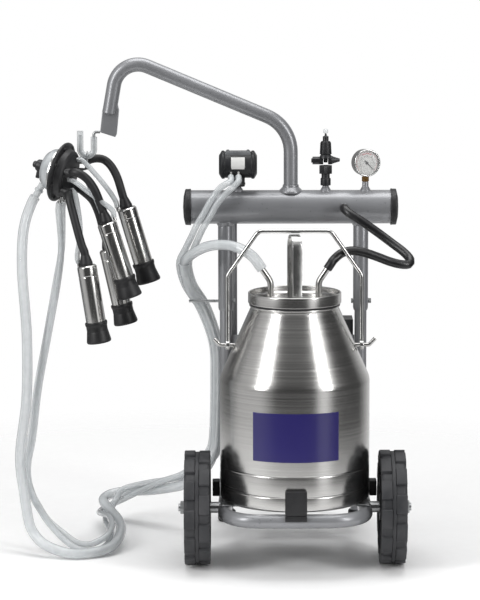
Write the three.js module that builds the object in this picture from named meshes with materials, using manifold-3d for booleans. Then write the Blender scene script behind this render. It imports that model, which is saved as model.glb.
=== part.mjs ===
// Trolley milking machine: a can on a two-wheeled tube frame, with a vacuum tank, pump, pulsator and a
// four-cup cluster.
// Millimetres, +Z up. Everything is laid out from the can's axis at x = 0, y = 0, with the floor at z = 0
// and the
// front at -Y; the whole group is then moved so that its origin is under the middle of its bounding box.
import * as THREE from "three";
import { mergeVertices } from "three/addons/utils/BufferGeometryUtils.js";
import Module from "manifold-3d";

const wasm = await Module();
wasm.setup();

// ---------------------------------------------------------------- driving dimensions
const GAP = 0.3; // between pieces that touch
const SLIP = 0.3; // round a shaft, pin or tube that passes through a hole
const ROUND = 28; // sides of a large turned piece
const SMALL = 12; // sides of a small round piece
const TUBE_SIDES = 10;

// trolley
const WHEEL_RADIUS = 115;
const WHEEL_WIDTH = 51;
const WHEEL_INSIDE_X = 170; // inner face of a wheel
const AXLE_Y = -21;
const AXLE_RADIUS = 8;
const AXLE_COLLAR_RADIUS = 11.5;
const HUB_RADIUS = 26;
const WHEEL_DISH = 12; // how deep each face of the wheel is hollowed
const WHEEL_RIM = 22; // tread and rim, in from the outside
const GROOVES = 12; // tread grooves in each half of the wheel
const GROOVE_WIDTH = 11;
const GROOVE_DEPTH = 5;
const RIB_WIDTH = 7; // plain rib round the middle of the tread

const BASE_TUBE_RADIUS = 14;
const BASE_Z = WHEEL_RADIUS; // the side tubes carry the axles
const BASE_HALF_WIDTH = 140;
const BASE_FRONT_Y = -146;
const BASE_CORNER_RADIUS = 75;
const BASE_REAR_Y = 350; // where the rear legs stand
const LEG_BEND_RADIUS = 45;
const FOOT_RADIUS = 19;
const FOOT_HEIGHT = 24;
const FOOT_SOLE = 6; // rubber under the leg

const SEAT_THICKNESS = 3; // flat bars under the can
const SEAT_BAR_WIDTH = 30;
const SEAT_BAR_Y = 62; // bars in front of and behind the can's axis

// can
const CAN_RADIUS = 150;
const CAN_WALL = 1.5;
const CAN_BASE_RING = 27; // height of the plain ring at the foot
const CAN_SHOULDER = 246.5; // above the can's bottom
const CAN_MOUTH = 392;
const NECK_RADIUS = 86;
const LID_RADIUS = 93;
const LID_HEIGHT = 21.5;
const LID_WALL = 1.5;
const GASKET_HEIGHT = 5;
const NOZZLE_RADIUS = 6.3;
const NOZZLE_BORE = 4.8;
const NOZZLE_X = 48; // lid nozzles, left and right of the middle
const LID_HANDLE_TOP = 115; // above the lid
const LID_HANDLE_WIDTH = 19;
const LID_HANDLE_SPAN = 54;
const LID_HANDLE_THICKNESS = 3;
const LID_HANDLE_TURN = THREE.MathUtils.degToRad(10.5);

// bail
const BAIL_WIRE = 4.2;
const BAIL_HALF_WIDTH = 134;
const BAIL_PIVOT = 309.5; // above the can's bottom
const BAIL_KNEE = 141; // above the pivot
const BAIL_TOP = 229;
const BAIL_TOP_HALF = 72;
const EAR_WIRE = 4;

// frame behind the can
const UPRIGHT_Y = 180;
const UPRIGHT_X = 139;
const LOWER_UPRIGHT_RADIUS = 12.5;
const UPPER_UPRIGHT_RADIUS = 15.5;
const SOCKET_Z = 485; // lower end of the upper uprights
const SOCKET_DEPTH = 60;
const PIN_Z = 504;
const PIN_RADIUS = 3;
const PEG_REACH = 76; // how far the hose peg sticks out from its upright's middle
const PLATE_TOP = 433;
const PLATE_HEIGHT = 78;
const PLATE_THICKNESS = 4;

// vacuum tank
const TANK_RADIUS = 34.5;
const TANK_WALL = 3;
const TANK_Z = 699;
const TANK_X = -5; // the tank is welded a little off the frame's middle
const TANK_HALF_LENGTH = 214;
const CAP_RADIUS = 37;
const CAP_GRIP = 9.5; // how far a cap reaches over the tube
const CAP_DOME = 4.5;
const TANK_NIPPLE_X = 103;
const TANK_NIPPLE_RADIUS = 6.5;
const TANK_NIPPLE_LENGTH = 12;

// mast and hook
const MAST_RADIUS = 14.5;
const MAST_SLOPE_RADIUS = 79;
const MAST_TIP_RADIUS = 50;
const MAST_KNEE = [0, 865]; // corners of the mast's line, as [x from the tank's middle, z]
const MAST_PEAK = [-349, 1011];
const MAST_END = [-372, 858];
const MAST_BLADE_WIDTH = 34; // flattened end
const MAST_BLADE_THICKNESS = 9;
const HOOK_WIRE = 3;
const HOOK_RADIUS = 14;
const HOOK_X = -421;
const HOOK_Z = 818.5; // centre of the hook's round bottom
const SLEEVE_RADIUS = 6.5;
const SLEEVE_BORE = HOOK_WIRE + SLIP;

// fittings on the tank
const PULSATOR_X = -113;
const PULSATOR_Z = 786;
const PULSATOR_RADIUS = 28;
const PULSATOR_LENGTH = 78;
const PULSE_NIPPLE_RADIUS = 4;
const PULSE_NIPPLES = [-14.5, 1]; // left and right of the pulsator's middle
const PULSE_FOOT = [-12, -6]; // where they start, as [y, z] from its axis
const PULSE_REACH = 27;
const PULSE_DIP = THREE.MathUtils.degToRad(34); // they point to the front and down
const REGULATOR_X = 66.5;
const GAUGE_X = 148;
const GAUGE_Z = 790;
const GAUGE_RADIUS = 28;
const GAUGE_DEPTH = 28;
const GAUGE_TURN = THREE.MathUtils.degToRad(17);
const STEM_RADIUS = 6.5;

// pump set
const PLATFORM_THICKNESS = 5;
const PLATFORM_FRONT_Y = 205;
const PLATFORM_DEPTH = 165;
const DRIVE_Y = 290;
const DRIVE_HEIGHT = 72; // shaft above the platform
const SHAFT_RADIUS = 7;
const MOTOR_RADIUS = 58;
const MOTOR_LEFT_X = -22;
const MOTOR_LENGTH = 140;
const PUMP_RADIUS = 50;
const PUMP_LEFT_X = -122;
const PUMP_LENGTH = 68;
const SUCTION_X = -125;
const SUCTION_Y = 207;
const SUCTION_RADIUS = 9.5;

// cluster
const CLAW = new THREE.Vector3(-474, 168, 773);
const CLAW_DROP = THREE.MathUtils.degToRad(14); // the claw's axis points right, down and to the front
const CLAW_TURN = THREE.MathUtils.degToRad(19);
const CLAW_DISC_RADIUS = 62;
const CLAW_HUB_RADIUS = 50;
const CLAW_BOWL_RADIUS = 45;
const CLAW_BOWL_DEPTH = 34;
const VALVE_RADIUS = 12;
const SHELL_RADIUS = 20;
const SHELL_WALL = 1.2;
const SHELL_LENGTH = 123;
const LINER_BORE = 12;
const LINER_STEM = 9;
const MILK_TUBE_RADIUS = 9.5;

// hoses
const MILK_HOSE_RADIUS = 10.5;
const PULSE_HOSE_RADIUS = 6.5;
const VACUUM_HOSE_RADIUS = 9;
const HOSE_SIDES = 8;

// ---------------------------------------------------------------- materials
const finish = (color, roughness, metalness) => new THREE.MeshStandardMaterial({ color, roughness,
  metalness });
const greyPaint = finish(0x7d7f82, 0.45, 0.2);
const steel = finish(0xc9cbcd, 0.18, 1.0);
const zinc = finish(0xa5a8aa, 0.35, 0.9);
const blackRubber = finish(0x242426, 0.6, 0.0);
const wheelPlastic = finish(0x3d3e41, 0.65, 0.0);
const blackPlastic = finish(0x2b2c2e, 0.45, 0.0);
const clearPlastic = finish(0xdfe2e4, 0.2, 0.0);
const motorPaint = finish(0x55595e, 0.5, 0.2);

// ---------------------------------------------------------------- shape helpers
const V = (x, y, z) => new THREE.Vector3(x, y, z);

/** Only positions, shared between the triangles, with no flat triangle left. */
function bare(geometry) {
  const g = geometry.clone();
  for (const name of Object.keys(g.attributes)) if (name !== "position") g.deleteAttribute(name);
  const merged = mergeVertices(g, 1e-4);
  const kept = [];
  const index = merged.index.array;
  for (let i = 0; i < index.length; i += 3) {
    const [a, b, c] = [index[i], index[i + 1], index[i + 2]];
    if (a !== b && b !== c && c !== a) kept.push(a, b, c);
  }
  merged.setIndex(kept);
  return merged;
}

/** The same closed surface with its faces pointing out. */
function outward(geometry) {
  const g = bare(geometry);
  const p = g.attributes.position;
  const index = Array.from(g.index.array);
  let volume = 0;
  for (let i = 0; i < index.length; i += 3) {
    const [a, b, c] = [0, 1, 2].map((k) => V(0, 0, 0).fromBufferAttribute(p, index[i + k]));
    volume += a.dot(b.cross(c));
  }
  if (volume < 0) for (let i = 0; i < index.length; i += 3) [index[i], index[i + 1]] = [index[i + 1],
    index[i]];
  g.setIndex(index);
  return g;
}

function solid(geometry) {
  const g = outward(geometry);
  return new wasm.Manifold(
    new wasm.Mesh({ numProp: 3, vertProperties: Float32Array.from(g.attributes.position.array),
      triVerts: Uint32Array.from(g.index.array) }),
  );
}

function shape(manifold) {
  const mesh = manifold.getMesh();
  const g = new THREE.BufferGeometry();
  g.setAttribute("position", new THREE.BufferAttribute(Float32Array.from(mesh.vertProperties), 3));
  g.setIndex(Array.from(mesh.triVerts));
  return g;
}

const join = (...parts) => shape(parts.map(solid).reduce((a, b) => a.add(b)));
const cut = (from, ...tools) => shape(tools.map(solid).reduce((a, b) => a.subtract(b), solid(from)));

/** Turned about Z from a profile of [radius, z] that starts and ends on the axis, or closes on itself. */
function turned(profile, sides = ROUND) {
  const points = profile.map(([r, z]) => new THREE.Vector2(r, z));
  return outward(new THREE.LatheGeometry(points, sides).rotateX(Math.PI / 2));
}

/** A ring turned about Z from a closed profile. */
const ring = (profile, sides = ROUND) => turned([...profile, profile[0]], sides);

/** A rod or a disc about Z, from z0 to z1. */
const rod = (radius, z0, z1, sides = SMALL) => turned([[0, z0], [radius, z0], [radius, z1], [0, z1]], sides);

const rodX = (radius, x0, x1, sides = SMALL) => rod(radius, x0, x1, sides).rotateY(Math.PI / 2);
const rodY = (radius, y0, y1, sides = SMALL) => rod(radius, -y1, -y0, sides).rotateX(Math.PI / 2);

/** A block between two corners. */
function block(x0, x1, y0, y1, z0, z1) {
  return new THREE.BoxGeometry(x1 - x0, y1 - y0, z1 - z0).translate((x0 + x1) / 2, (y0 + y1) / 2,
    (z0 + z1) / 2);
}

/** A line given by stations, each a place and the way it runs there. A tube along it has a section at each. */
class Stations extends THREE.Curve {
  constructor(stations) {
    super();
    this.stations = stations;
  }
  get steps() {
    return this.stations.length - 1;
  }
  station(u) {
    return this.stations[Math.round(u * this.steps)];
  }
  getPointAt(u) {
    return this.station(u).at.clone();
  }
  getPoint(t) {
    return this.getPointAt(t);
  }
  getTangentAt(u) {
    return this.station(u).way.clone();
  }
}

/** Straight stretches with round corners. */
function bentPath(corners, radii, degreesPerStep = 18) {
  const stations = [{ at: corners[0].clone(), way: corners[1].clone().sub(corners[0]).normalize() }];
  for (let i = 1; i < corners.length - 1; i++) {
    const before = corners[i].clone().sub(corners[i - 1]).normalize();
    const after = corners[i + 1].clone().sub(corners[i]).normalize();
    const angle = before.angleTo(after);
    const radius = Array.isArray(radii) ? radii[i - 1] : radii;
    const inward = after.clone().sub(before).normalize();
    const centre = corners[i].clone().addScaledVector(inward, radius / Math.cos(angle / 2));
    const axis = before.clone().cross(after).normalize();
    const start = corners[i].clone().addScaledVector(before, -radius * Math.tan(angle / 2)).sub(centre);
    const steps = Math.max(2, Math.round(THREE.MathUtils.radToDeg(angle) / degreesPerStep));
    for (let k = 0; k <= steps; k++) {
      const turn = (angle * k) / steps;
      stations.push({
        at: start.clone().applyAxisAngle(axis, turn).add(centre),
        way: before.clone().applyAxisAngle(axis, turn),
      });
    }
  }
  const [last, end] = corners.slice(-2);
  stations.push({ at: end.clone(), way: end.clone().sub(last).normalize() });
  return new Stations(stations);
}

const WALK = 3; // a smooth line is walked in steps of about this length
const LONGEST_STEP = 85;
/** A smooth line through points, with stations where it bends. */
function smoothPath(points, degreesPerStep = 22) {
  const curve = new THREE.CatmullRomCurve3(points, false, "catmullrom", 0.5);
  const steps = Math.round(curve.getLength() / WALK);
  const station = (k) => ({ at: curve.getPointAt(k / steps), way: curve.getTangentAt(k / steps) });
  const stations = [station(0)];
  const limit = THREE.MathUtils.degToRad(degreesPerStep);
  for (let k = 1; k < steps - 1; k++) {
    const last = stations[stations.length - 1];
    const here = station(k);
    if (here.way.angleTo(last.way) > limit || here.at.distanceTo(last.at) > LONGEST_STEP) stations.push(here);
  }
  stations.push(station(steps));
  return new Stations(stations);
}

function circle(radius, sides) {
  const points = [];
  for (let i = 0; i < sides; i++) {
    const a = (2 * Math.PI * i) / sides;
    points.push(new THREE.Vector2(radius * Math.cos(a), radius * Math.sin(a)));
  }
  return new THREE.Shape(points);
}

/** A round bar along a path. */
function tube(path, radius, sides = TUBE_SIDES, steps = path.steps) {
  return outward(new THREE.ExtrudeGeometry(circle(radius, sides), { steps, extrudePath: path }));
}

/** A flat outline of [x, z] points, given a thickness from y0 to y1. */
function slab(outline, y0, y1) {
  const flat = new THREE.Shape(outline.map(([x, z]) => new THREE.Vector2(x, z)));
  return outward(new THREE.ExtrudeGeometry(flat,
    { depth: y1 - y0, bevelEnabled: false }).rotateX(Math.PI / 2).translate(0, y1, 0));
}

const group = new THREE.Group();

function add(name, geometry, material, parent = group) {
  const mesh = new THREE.Mesh(geometry, material);
  mesh.name = name;
  parent.add(mesh);
  return mesh;
}

const sides = [["left", -1], ["right", 1]];

// ---------------------------------------------------------------- base frame
const basePath = bentPath(
  [
    V(-BASE_HALF_WIDTH, BASE_REAR_Y, FOOT_SOLE + GAP),
    V(-BASE_HALF_WIDTH, BASE_REAR_Y, BASE_Z),
    V(-BASE_HALF_WIDTH, BASE_FRONT_Y, BASE_Z),
    V(BASE_HALF_WIDTH, BASE_FRONT_Y, BASE_Z),
    V(BASE_HALF_WIDTH, BASE_REAR_Y, BASE_Z),
    V(BASE_HALF_WIDTH, BASE_REAR_Y, FOOT_SOLE + GAP),
  ],
  [LEG_BEND_RADIUS, BASE_CORNER_RADIUS, BASE_CORNER_RADIUS, LEG_BEND_RADIUS],
);
const baseTube = tube(basePath, BASE_TUBE_RADIUS, SMALL);
const baseClearance = tube(basePath, BASE_TUBE_RADIUS + GAP, SMALL);
add("base_frame", baseTube, greyPaint);

for (const [side, s] of sides) {
  const foot = cut(
    turned([[0, 0], [FOOT_RADIUS - 2, 0], [FOOT_RADIUS, 2], [FOOT_RADIUS, FOOT_HEIGHT - 3],
      [FOOT_RADIUS - 2, FOOT_HEIGHT], [0, FOOT_HEIGHT]], 20),
    rod(BASE_TUBE_RADIUS + SLIP, FOOT_SOLE, FOOT_HEIGHT + 1, 20),
  );
  add(`foot_${side}`, foot.translate(s * BASE_HALF_WIDTH, BASE_REAR_Y, 0), blackRubber);
}

// ---------------------------------------------------------------- seat, stops and platform
const seatBottom = BASE_Z + BASE_TUBE_RADIUS + GAP;
const seatTop = seatBottom + SEAT_THICKNESS;
const canBottom = seatTop + GAP;
const seatHalfWidth = BASE_HALF_WIDTH + BASE_TUBE_RADIUS / 2;
const seatBars = [-SEAT_BAR_Y, SEAT_BAR_Y].map((y) =>
  block(-seatHalfWidth, seatHalfWidth, y - SEAT_BAR_WIDTH / 2, y + SEAT_BAR_WIDTH / 2, seatBottom, seatTop),
);
const seatTie = block(-SEAT_BAR_WIDTH / 2, SEAT_BAR_WIDTH / 2, -SEAT_BAR_Y, SEAT_BAR_Y, seatBottom, seatTop);
add("can_seat", join(...seatBars, seatTie), zinc);

const STOP_CLEARANCE = 1.2; // between the can's foot and a stop
const FRONT_STOP_WIDTH = 43;
const FRONT_STOP_THICKNESS = 13;
const FRONT_STOP_TOP = 178;
const SIDE_STOP_LENGTH = 30;
const SIDE_STOP_TOP = 160;
const stopInside = CAN_RADIUS + STOP_CLEARANCE;
add(
  "can_stop_front",
  cut(
    block(-FRONT_STOP_WIDTH / 2, FRONT_STOP_WIDTH / 2, -stopInside - FRONT_STOP_THICKNESS, -stopInside,
      BASE_Z + 3, FRONT_STOP_TOP),
    baseClearance,
  ),
  blackRubber,
);
for (const [side, s] of sides) {
  const inside = s > 0 ? stopInside : -WHEEL_INSIDE_X + 4;
  const outside = s > 0 ? WHEEL_INSIDE_X - 4 : -stopInside;
  const stop = block(inside, outside, -SIDE_STOP_LENGTH / 2 + 30, SIDE_STOP_LENGTH / 2 + 30, BASE_Z + 3,
    SIDE_STOP_TOP);
  add(`can_stop_${side}`, cut(stop, baseClearance), blackRubber);
}

const platformHalf = BASE_HALF_WIDTH + BASE_TUBE_RADIUS / 2;
const platformTop = seatBottom + PLATFORM_THICKNESS;
const PLATFORM_HOLE = 5;
const platformHoles = [[-95, -48], [-95, 48], [62, -48], [62, 48], [100, -48], [100, 48]];
add(
  "motor_platform",
  cut(
    block(-platformHalf, platformHalf, PLATFORM_FRONT_Y, PLATFORM_FRONT_Y + PLATFORM_DEPTH, seatBottom,
      platformTop),
    ...platformHoles.map(([x, y]) => rod(PLATFORM_HOLE, seatBottom - 1, platformTop + 1, 12).translate(x,
      DRIVE_Y + y, 0)),
    baseClearance,
  ),
  greyPaint,
);

// ---------------------------------------------------------------- wheels and axles
const wheelOutsideX = WHEEL_INSIDE_X + WHEEL_WIDTH;
const NUT_HEIGHT = 9;
function wheelShape() {
  const half = WHEEL_WIDTH / 2;
  const rimInside = WHEEL_RADIUS - WHEEL_RIM;
  const body = ring([
    [AXLE_RADIUS + SLIP, -half], [HUB_RADIUS, -half], [HUB_RADIUS + 3, -half + WHEEL_DISH],
      [rimInside, -half + WHEEL_DISH],
    [rimInside + 4, -half], [WHEEL_RADIUS - 8, -half], [WHEEL_RADIUS, -half + 7], [WHEEL_RADIUS, half - 7],
    [WHEEL_RADIUS - 8, half], [rimInside + 4, half], [rimInside, half - WHEEL_DISH],
      [HUB_RADIUS + 3, half - WHEEL_DISH], [HUB_RADIUS, half], [AXLE_RADIUS + SLIP, half],
  ], GROOVES * 2);
  const grooves = [];
  for (const [row, [z0, z1]] of [[RIB_WIDTH / 2 + 2, half + 1], [-half - 1, -RIB_WIDTH / 2 - 2]].entries()) {
    for (let i = 0; i < GROOVES; i++) {
      const groove = block(WHEEL_RADIUS - GROOVE_DEPTH, WHEEL_RADIUS + 5, -GROOVE_WIDTH / 2,
        GROOVE_WIDTH / 2, z0, z1);
      grooves.push(groove.rotateZ(((i + row / 2) * 2 * Math.PI) / GROOVES));
    }
  }
  return cut(body, ...grooves).rotateY(Math.PI / 2);
}
for (const [side, s] of sides) {
  const wheel = add(`wheel_${side}`, wheelShape(), wheelPlastic);
  wheel.position.set(s * (WHEEL_INSIDE_X + WHEEL_WIDTH / 2), AXLE_Y, WHEEL_RADIUS);
  const axle = turned([
    [0, BASE_HALF_WIDTH], [AXLE_COLLAR_RADIUS, BASE_HALF_WIDTH], [AXLE_COLLAR_RADIUS, WHEEL_INSIDE_X - GAP],
    [AXLE_RADIUS, WHEEL_INSIDE_X - GAP], [AXLE_RADIUS, wheelOutsideX + NUT_HEIGHT + 4],
      [0, wheelOutsideX + NUT_HEIGHT + 4],
  ], SMALL).rotateY(Math.PI / 2);
  const nut = rodX(AXLE_COLLAR_RADIUS + 2, wheelOutsideX + GAP, wheelOutsideX + NUT_HEIGHT, 6);
  const stub = cut(join(axle, nut).translate(0, AXLE_Y, BASE_Z), baseClearance);
  add(`axle_${side}`, s > 0 ? stub : outward(stub.scale(-1, 1, 1)), zinc);
}

// ---------------------------------------------------------------- uprights and cross plate
const upperTop = TANK_Z - 10;
const tankClearance = rodX(TANK_RADIUS + GAP, -TANK_HALF_LENGTH, TANK_HALF_LENGTH, ROUND).translate(TANK_X,
  UPRIGHT_Y, TANK_Z);
for (const [side, s] of sides) {
  const pinHole = rodX(PIN_RADIUS + SLIP, -UPPER_UPRIGHT_RADIUS - 5, UPPER_UPRIGHT_RADIUS + 5,
    12).translate(0, 0, PIN_Z);
  const lower = cut(
    rod(LOWER_UPRIGHT_RADIUS, BASE_Z, SOCKET_Z + SOCKET_DEPTH - 4, SMALL),
    pinHole,
    baseClearance.clone().translate(-s * UPRIGHT_X, -UPRIGHT_Y, 0),
  );
  add(`upright_lower_${side}`, lower, greyPaint).position.set(s * UPRIGHT_X, UPRIGHT_Y, 0);
  const sleeve = cut(
    turned([
      [0, SOCKET_Z], [LOWER_UPRIGHT_RADIUS + 1.5, SOCKET_Z], [UPPER_UPRIGHT_RADIUS, SOCKET_Z + 8],
      [UPPER_UPRIGHT_RADIUS, upperTop], [0, upperTop],
    ], SMALL),
    rod(LOWER_UPRIGHT_RADIUS + SLIP + 0.2, SOCKET_Z - 1, SOCKET_Z + SOCKET_DEPTH, SMALL),
    pinHole,
    tankClearance.clone().translate(-s * UPRIGHT_X, -UPRIGHT_Y, 0),
  );
  add(`upright_upper_${side}`, sleeve, greyPaint).position.set(s * UPRIGHT_X, UPRIGHT_Y, 0);
}
const pinInside = UPRIGHT_X - UPPER_UPRIGHT_RADIUS - 4;
const PIN_HEAD = 6;
const pinHead = (x0, x1) => rodX(PIN_RADIUS + 2.5, x0, x1, 6);
add(
  "hose_peg",
  join(rodX(PIN_RADIUS, -UPRIGHT_X - PEG_REACH, -pinInside, 12),
    pinHead(-pinInside - 3.5, -pinInside)).translate(0, UPRIGHT_Y, PIN_Z),
  zinc,
);
add(
  "lock_bolt",
  join(
    rodX(PIN_RADIUS, pinInside, UPRIGHT_X + UPPER_UPRIGHT_RADIUS + PIN_HEAD, 12),
    pinHead(pinInside, pinInside + 3.5),
    pinHead(UPRIGHT_X + UPPER_UPRIGHT_RADIUS + GAP, UPRIGHT_X + UPPER_UPRIGHT_RADIUS + PIN_HEAD),
  ).translate(0, UPRIGHT_Y, PIN_Z),
  zinc,
);
const plateHalf = UPRIGHT_X - LOWER_UPRIGHT_RADIUS - GAP;
add(
  "cross_plate",
  block(-plateHalf, plateHalf, UPRIGHT_Y - PLATE_THICKNESS / 2, UPRIGHT_Y + PLATE_THICKNESS / 2,
    PLATE_TOP - PLATE_HEIGHT, PLATE_TOP),
  greyPaint,
);

// ---------------------------------------------------------------- vacuum tank
/** A weld cone with a socket on the tank's top, in the tank's own coordinates. */
function boss(x, coneRadius, stemRadius, stemTop) {
  const foot = TANK_RADIUS - 5;
  return turned([
    [0, foot], [coneRadius, foot], [coneRadius, TANK_RADIUS - 1.5], [stemRadius, TANK_RADIUS + 6],
      [stemRadius, stemTop], [0, stemTop],
  ], 20).translate(x, 0, 0);
}
const MAST_BOSS_TOP = 46; // above the tank's axis
const PULSATOR_BOSS_TOP = 41;
const REGULATOR_BOSS_TOP = 44;
const GAUGE_BOSS_TOP = 52;
const tankTube = rodX(TANK_RADIUS, -TANK_HALF_LENGTH, TANK_HALF_LENGTH, ROUND);
const tankBore = rodX(TANK_RADIUS - TANK_WALL, -TANK_HALF_LENGTH - 1, TANK_HALF_LENGTH + 1, ROUND);
const tankNipple = join(
  rodY(TANK_NIPPLE_RADIUS, -TANK_RADIUS - TANK_NIPPLE_LENGTH, -TANK_RADIUS + 3),
  rodY(TANK_NIPPLE_RADIUS + 2.5, -TANK_RADIUS - 3, -TANK_RADIUS + 3),
).translate(TANK_NIPPLE_X - TANK_X, 0, 3);
const suctionSocket = rod(SUCTION_RADIUS + 2, -TANK_RADIUS + 2, -TANK_RADIUS + 14,
  SMALL).translate(SUCTION_X - TANK_X, SUCTION_Y - UPRIGHT_Y, 0);
const tank = cut(
  join(
    tankTube,
    boss(0, 25, MAST_RADIUS + 2, MAST_BOSS_TOP),
    boss(PULSATOR_X - TANK_X, 12, STEM_RADIUS, PULSATOR_BOSS_TOP),
    boss(REGULATOR_X - TANK_X, 12, STEM_RADIUS, REGULATOR_BOSS_TOP),
    boss(GAUGE_X - TANK_X, 12, STEM_RADIUS, GAUGE_BOSS_TOP),
    tankNipple,
    suctionSocket,
  ),
  tankBore,
);
add("vacuum_tank", tank, greyPaint).position.set(TANK_X, UPRIGHT_Y, TANK_Z);
for (const [side, s] of sides) {
  const end = TANK_HALF_LENGTH;
  const cap = turned([
    [0, end + GAP], [TANK_RADIUS + SLIP, end + GAP], [TANK_RADIUS + SLIP, end - CAP_GRIP],
      [CAP_RADIUS, end - CAP_GRIP],
    [CAP_RADIUS, end + 1.5], [CAP_RADIUS - 2, end + 2.5], [CAP_RADIUS * 0.6, end + 2.5 + CAP_DOME * 0.7],
      [0, end + 2.5 + CAP_DOME],
  ]).rotateY(Math.PI / 2);
  add(`tank_cap_${side}`, s > 0 ? cap : outward(cap.scale(-1, 1, 1)), blackRubber).position.set(TANK_X,
    UPRIGHT_Y, TANK_Z);
}

// ---------------------------------------------------------------- mast, hook and sleeve
const mastFoot = TANK_Z + MAST_BOSS_TOP + GAP;
const mastPath = bentPath(
  [V(0, 0, mastFoot), V(MAST_KNEE[0], 0, MAST_KNEE[1]), V(MAST_PEAK[0], 0, MAST_PEAK[1]),
    V(MAST_END[0] + 4, 0, MAST_END[1] + 26)],
  [MAST_SLOPE_RADIUS, MAST_TIP_RADIUS], 13,
);
const bladeHalf = MAST_BLADE_WIDTH / 2;
const mastBlade = slab([
  [MAST_END[0] - bladeHalf, MAST_END[1] - 6], [MAST_END[0] + bladeHalf - 3, MAST_END[1] - 15],
    [MAST_END[0] + bladeHalf, MAST_END[1] - 8],
  [MAST_END[0] + bladeHalf + 5, MAST_END[1] + 40], [MAST_END[0] + bladeHalf, MAST_END[1] + 64],
  [MAST_END[0] - 6, MAST_END[1] + 64], [MAST_END[0] - bladeHalf + 5, MAST_END[1] + 40],
], -MAST_BLADE_THICKNESS / 2, MAST_BLADE_THICKNESS / 2);
add("mast", join(tube(mastPath, MAST_RADIUS, SMALL), mastBlade), greyPaint).position.set(TANK_X, UPRIGHT_Y,
  0);

const hookStart = TANK_X + MAST_END[0] - bladeHalf - GAP;
const hookArm = HOOK_X + HOOK_RADIUS;
const hookArmTop = HOOK_Z + 29;
const hookPath = bentPath(
  [
    V(hookStart, UPRIGHT_Y, hookArmTop + 6), V(hookArm, UPRIGHT_Y, hookArmTop + 6),
      V(hookArm, UPRIGHT_Y, HOOK_Z - HOOK_RADIUS),
    V(HOOK_X - HOOK_RADIUS, UPRIGHT_Y, HOOK_Z - HOOK_RADIUS), V(HOOK_X - HOOK_RADIUS, UPRIGHT_Y, hookArmTop),
  ],
  [6, HOOK_RADIUS - 0.01, HOOK_RADIUS - 0.01], 22,
);
add("cluster_hook", tube(hookPath, HOOK_WIRE, 8), zinc);
const SLEEVE_TOP = 8; // the sleeve runs past the rod's end by this much
const sleevePath = bentPath(
  [
    V(hookArm, UPRIGHT_Y, hookArmTop - 4), V(hookArm, UPRIGHT_Y, HOOK_Z - HOOK_RADIUS),
    V(HOOK_X - HOOK_RADIUS, UPRIGHT_Y, HOOK_Z - HOOK_RADIUS),
      V(HOOK_X - HOOK_RADIUS, UPRIGHT_Y, hookArmTop + SLEEVE_TOP),
  ],
  HOOK_RADIUS - 0.01, 22,
);
const sleeveBorePath = bentPath(
  [
    V(hookArm, UPRIGHT_Y, hookArmTop + 1), V(hookArm, UPRIGHT_Y, HOOK_Z - HOOK_RADIUS),
    V(HOOK_X - HOOK_RADIUS, UPRIGHT_Y, HOOK_Z - HOOK_RADIUS),
      V(HOOK_X - HOOK_RADIUS, UPRIGHT_Y, hookArmTop + SLEEVE_TOP + 1),
  ],
  HOOK_RADIUS - 0.01, 22,
);
add("hook_sleeve", cut(tube(sleevePath, SLEEVE_RADIUS, 10), tube(sleeveBorePath, SLEEVE_BORE, 8)),
  clearPlastic);

// ---------------------------------------------------------------- pulsator
const pulsatorNeckFoot = TANK_Z + PULSATOR_BOSS_TOP + GAP - PULSATOR_Z; // in the pulsator's own coordinates
const pulsator = add(
  "pulsator_body",
  cut(
    join(
      turned([
        [0, -PULSATOR_LENGTH / 2], [PULSATOR_RADIUS - 9, -PULSATOR_LENGTH / 2],
          [PULSATOR_RADIUS + 1, -PULSATOR_LENGTH / 2 + 6],
        [PULSATOR_RADIUS + 1, -PULSATOR_LENGTH / 2 + 11], [PULSATOR_RADIUS - 1, -PULSATOR_LENGTH / 2 + 12],
        [PULSATOR_RADIUS - 1, PULSATOR_LENGTH / 2 - 12], [PULSATOR_RADIUS + 1, PULSATOR_LENGTH / 2 - 11],
        [PULSATOR_RADIUS + 1, PULSATOR_LENGTH / 2 - 6], [PULSATOR_RADIUS - 9, PULSATOR_LENGTH / 2],
          [0, PULSATOR_LENGTH / 2],
      ], 28).rotateY(Math.PI / 2),
      rod(14, pulsatorNeckFoot, -PULSATOR_RADIUS + 5, SMALL),
      ...PULSE_NIPPLES.map((x) => rodY(PULSE_NIPPLE_RADIUS, -PULSE_REACH, 0,
        10).rotateX(PULSE_DIP).translate(x, ...PULSE_FOOT)),
    ),
    block(-PULSATOR_LENGTH / 2 + 12, PULSATOR_LENGTH / 2 - 12, -16 - GAP, 16 + GAP, 14 - GAP,
      PULSATOR_RADIUS + 2),
  ),
  blackPlastic,
);
pulsator.position.set(PULSATOR_X, UPRIGHT_Y, PULSATOR_Z);
const coverHalf = PULSATOR_LENGTH / 2 - 12 - GAP;
const pulsatorCover = add(
  "pulsator_cover",
  join(
    block(-coverHalf, coverHalf, -16, 16, 14, PULSATOR_RADIUS - 6),
    slab([[-16, PULSATOR_RADIUS - 7], [16, PULSATOR_RADIUS - 7], [11, PULSATOR_RADIUS],
      [-11, PULSATOR_RADIUS]], -coverHalf, coverHalf).rotateZ(Math.PI / 2),
    ...[-1, 1].map((s) => rod(2.5, PULSATOR_RADIUS - 2, PULSATOR_RADIUS + 2.5,
      8).translate(s * (coverHalf - 6), 5, 0)),
  ),
  zinc,
);
pulsatorCover.position.copy(pulsator.position);

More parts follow.
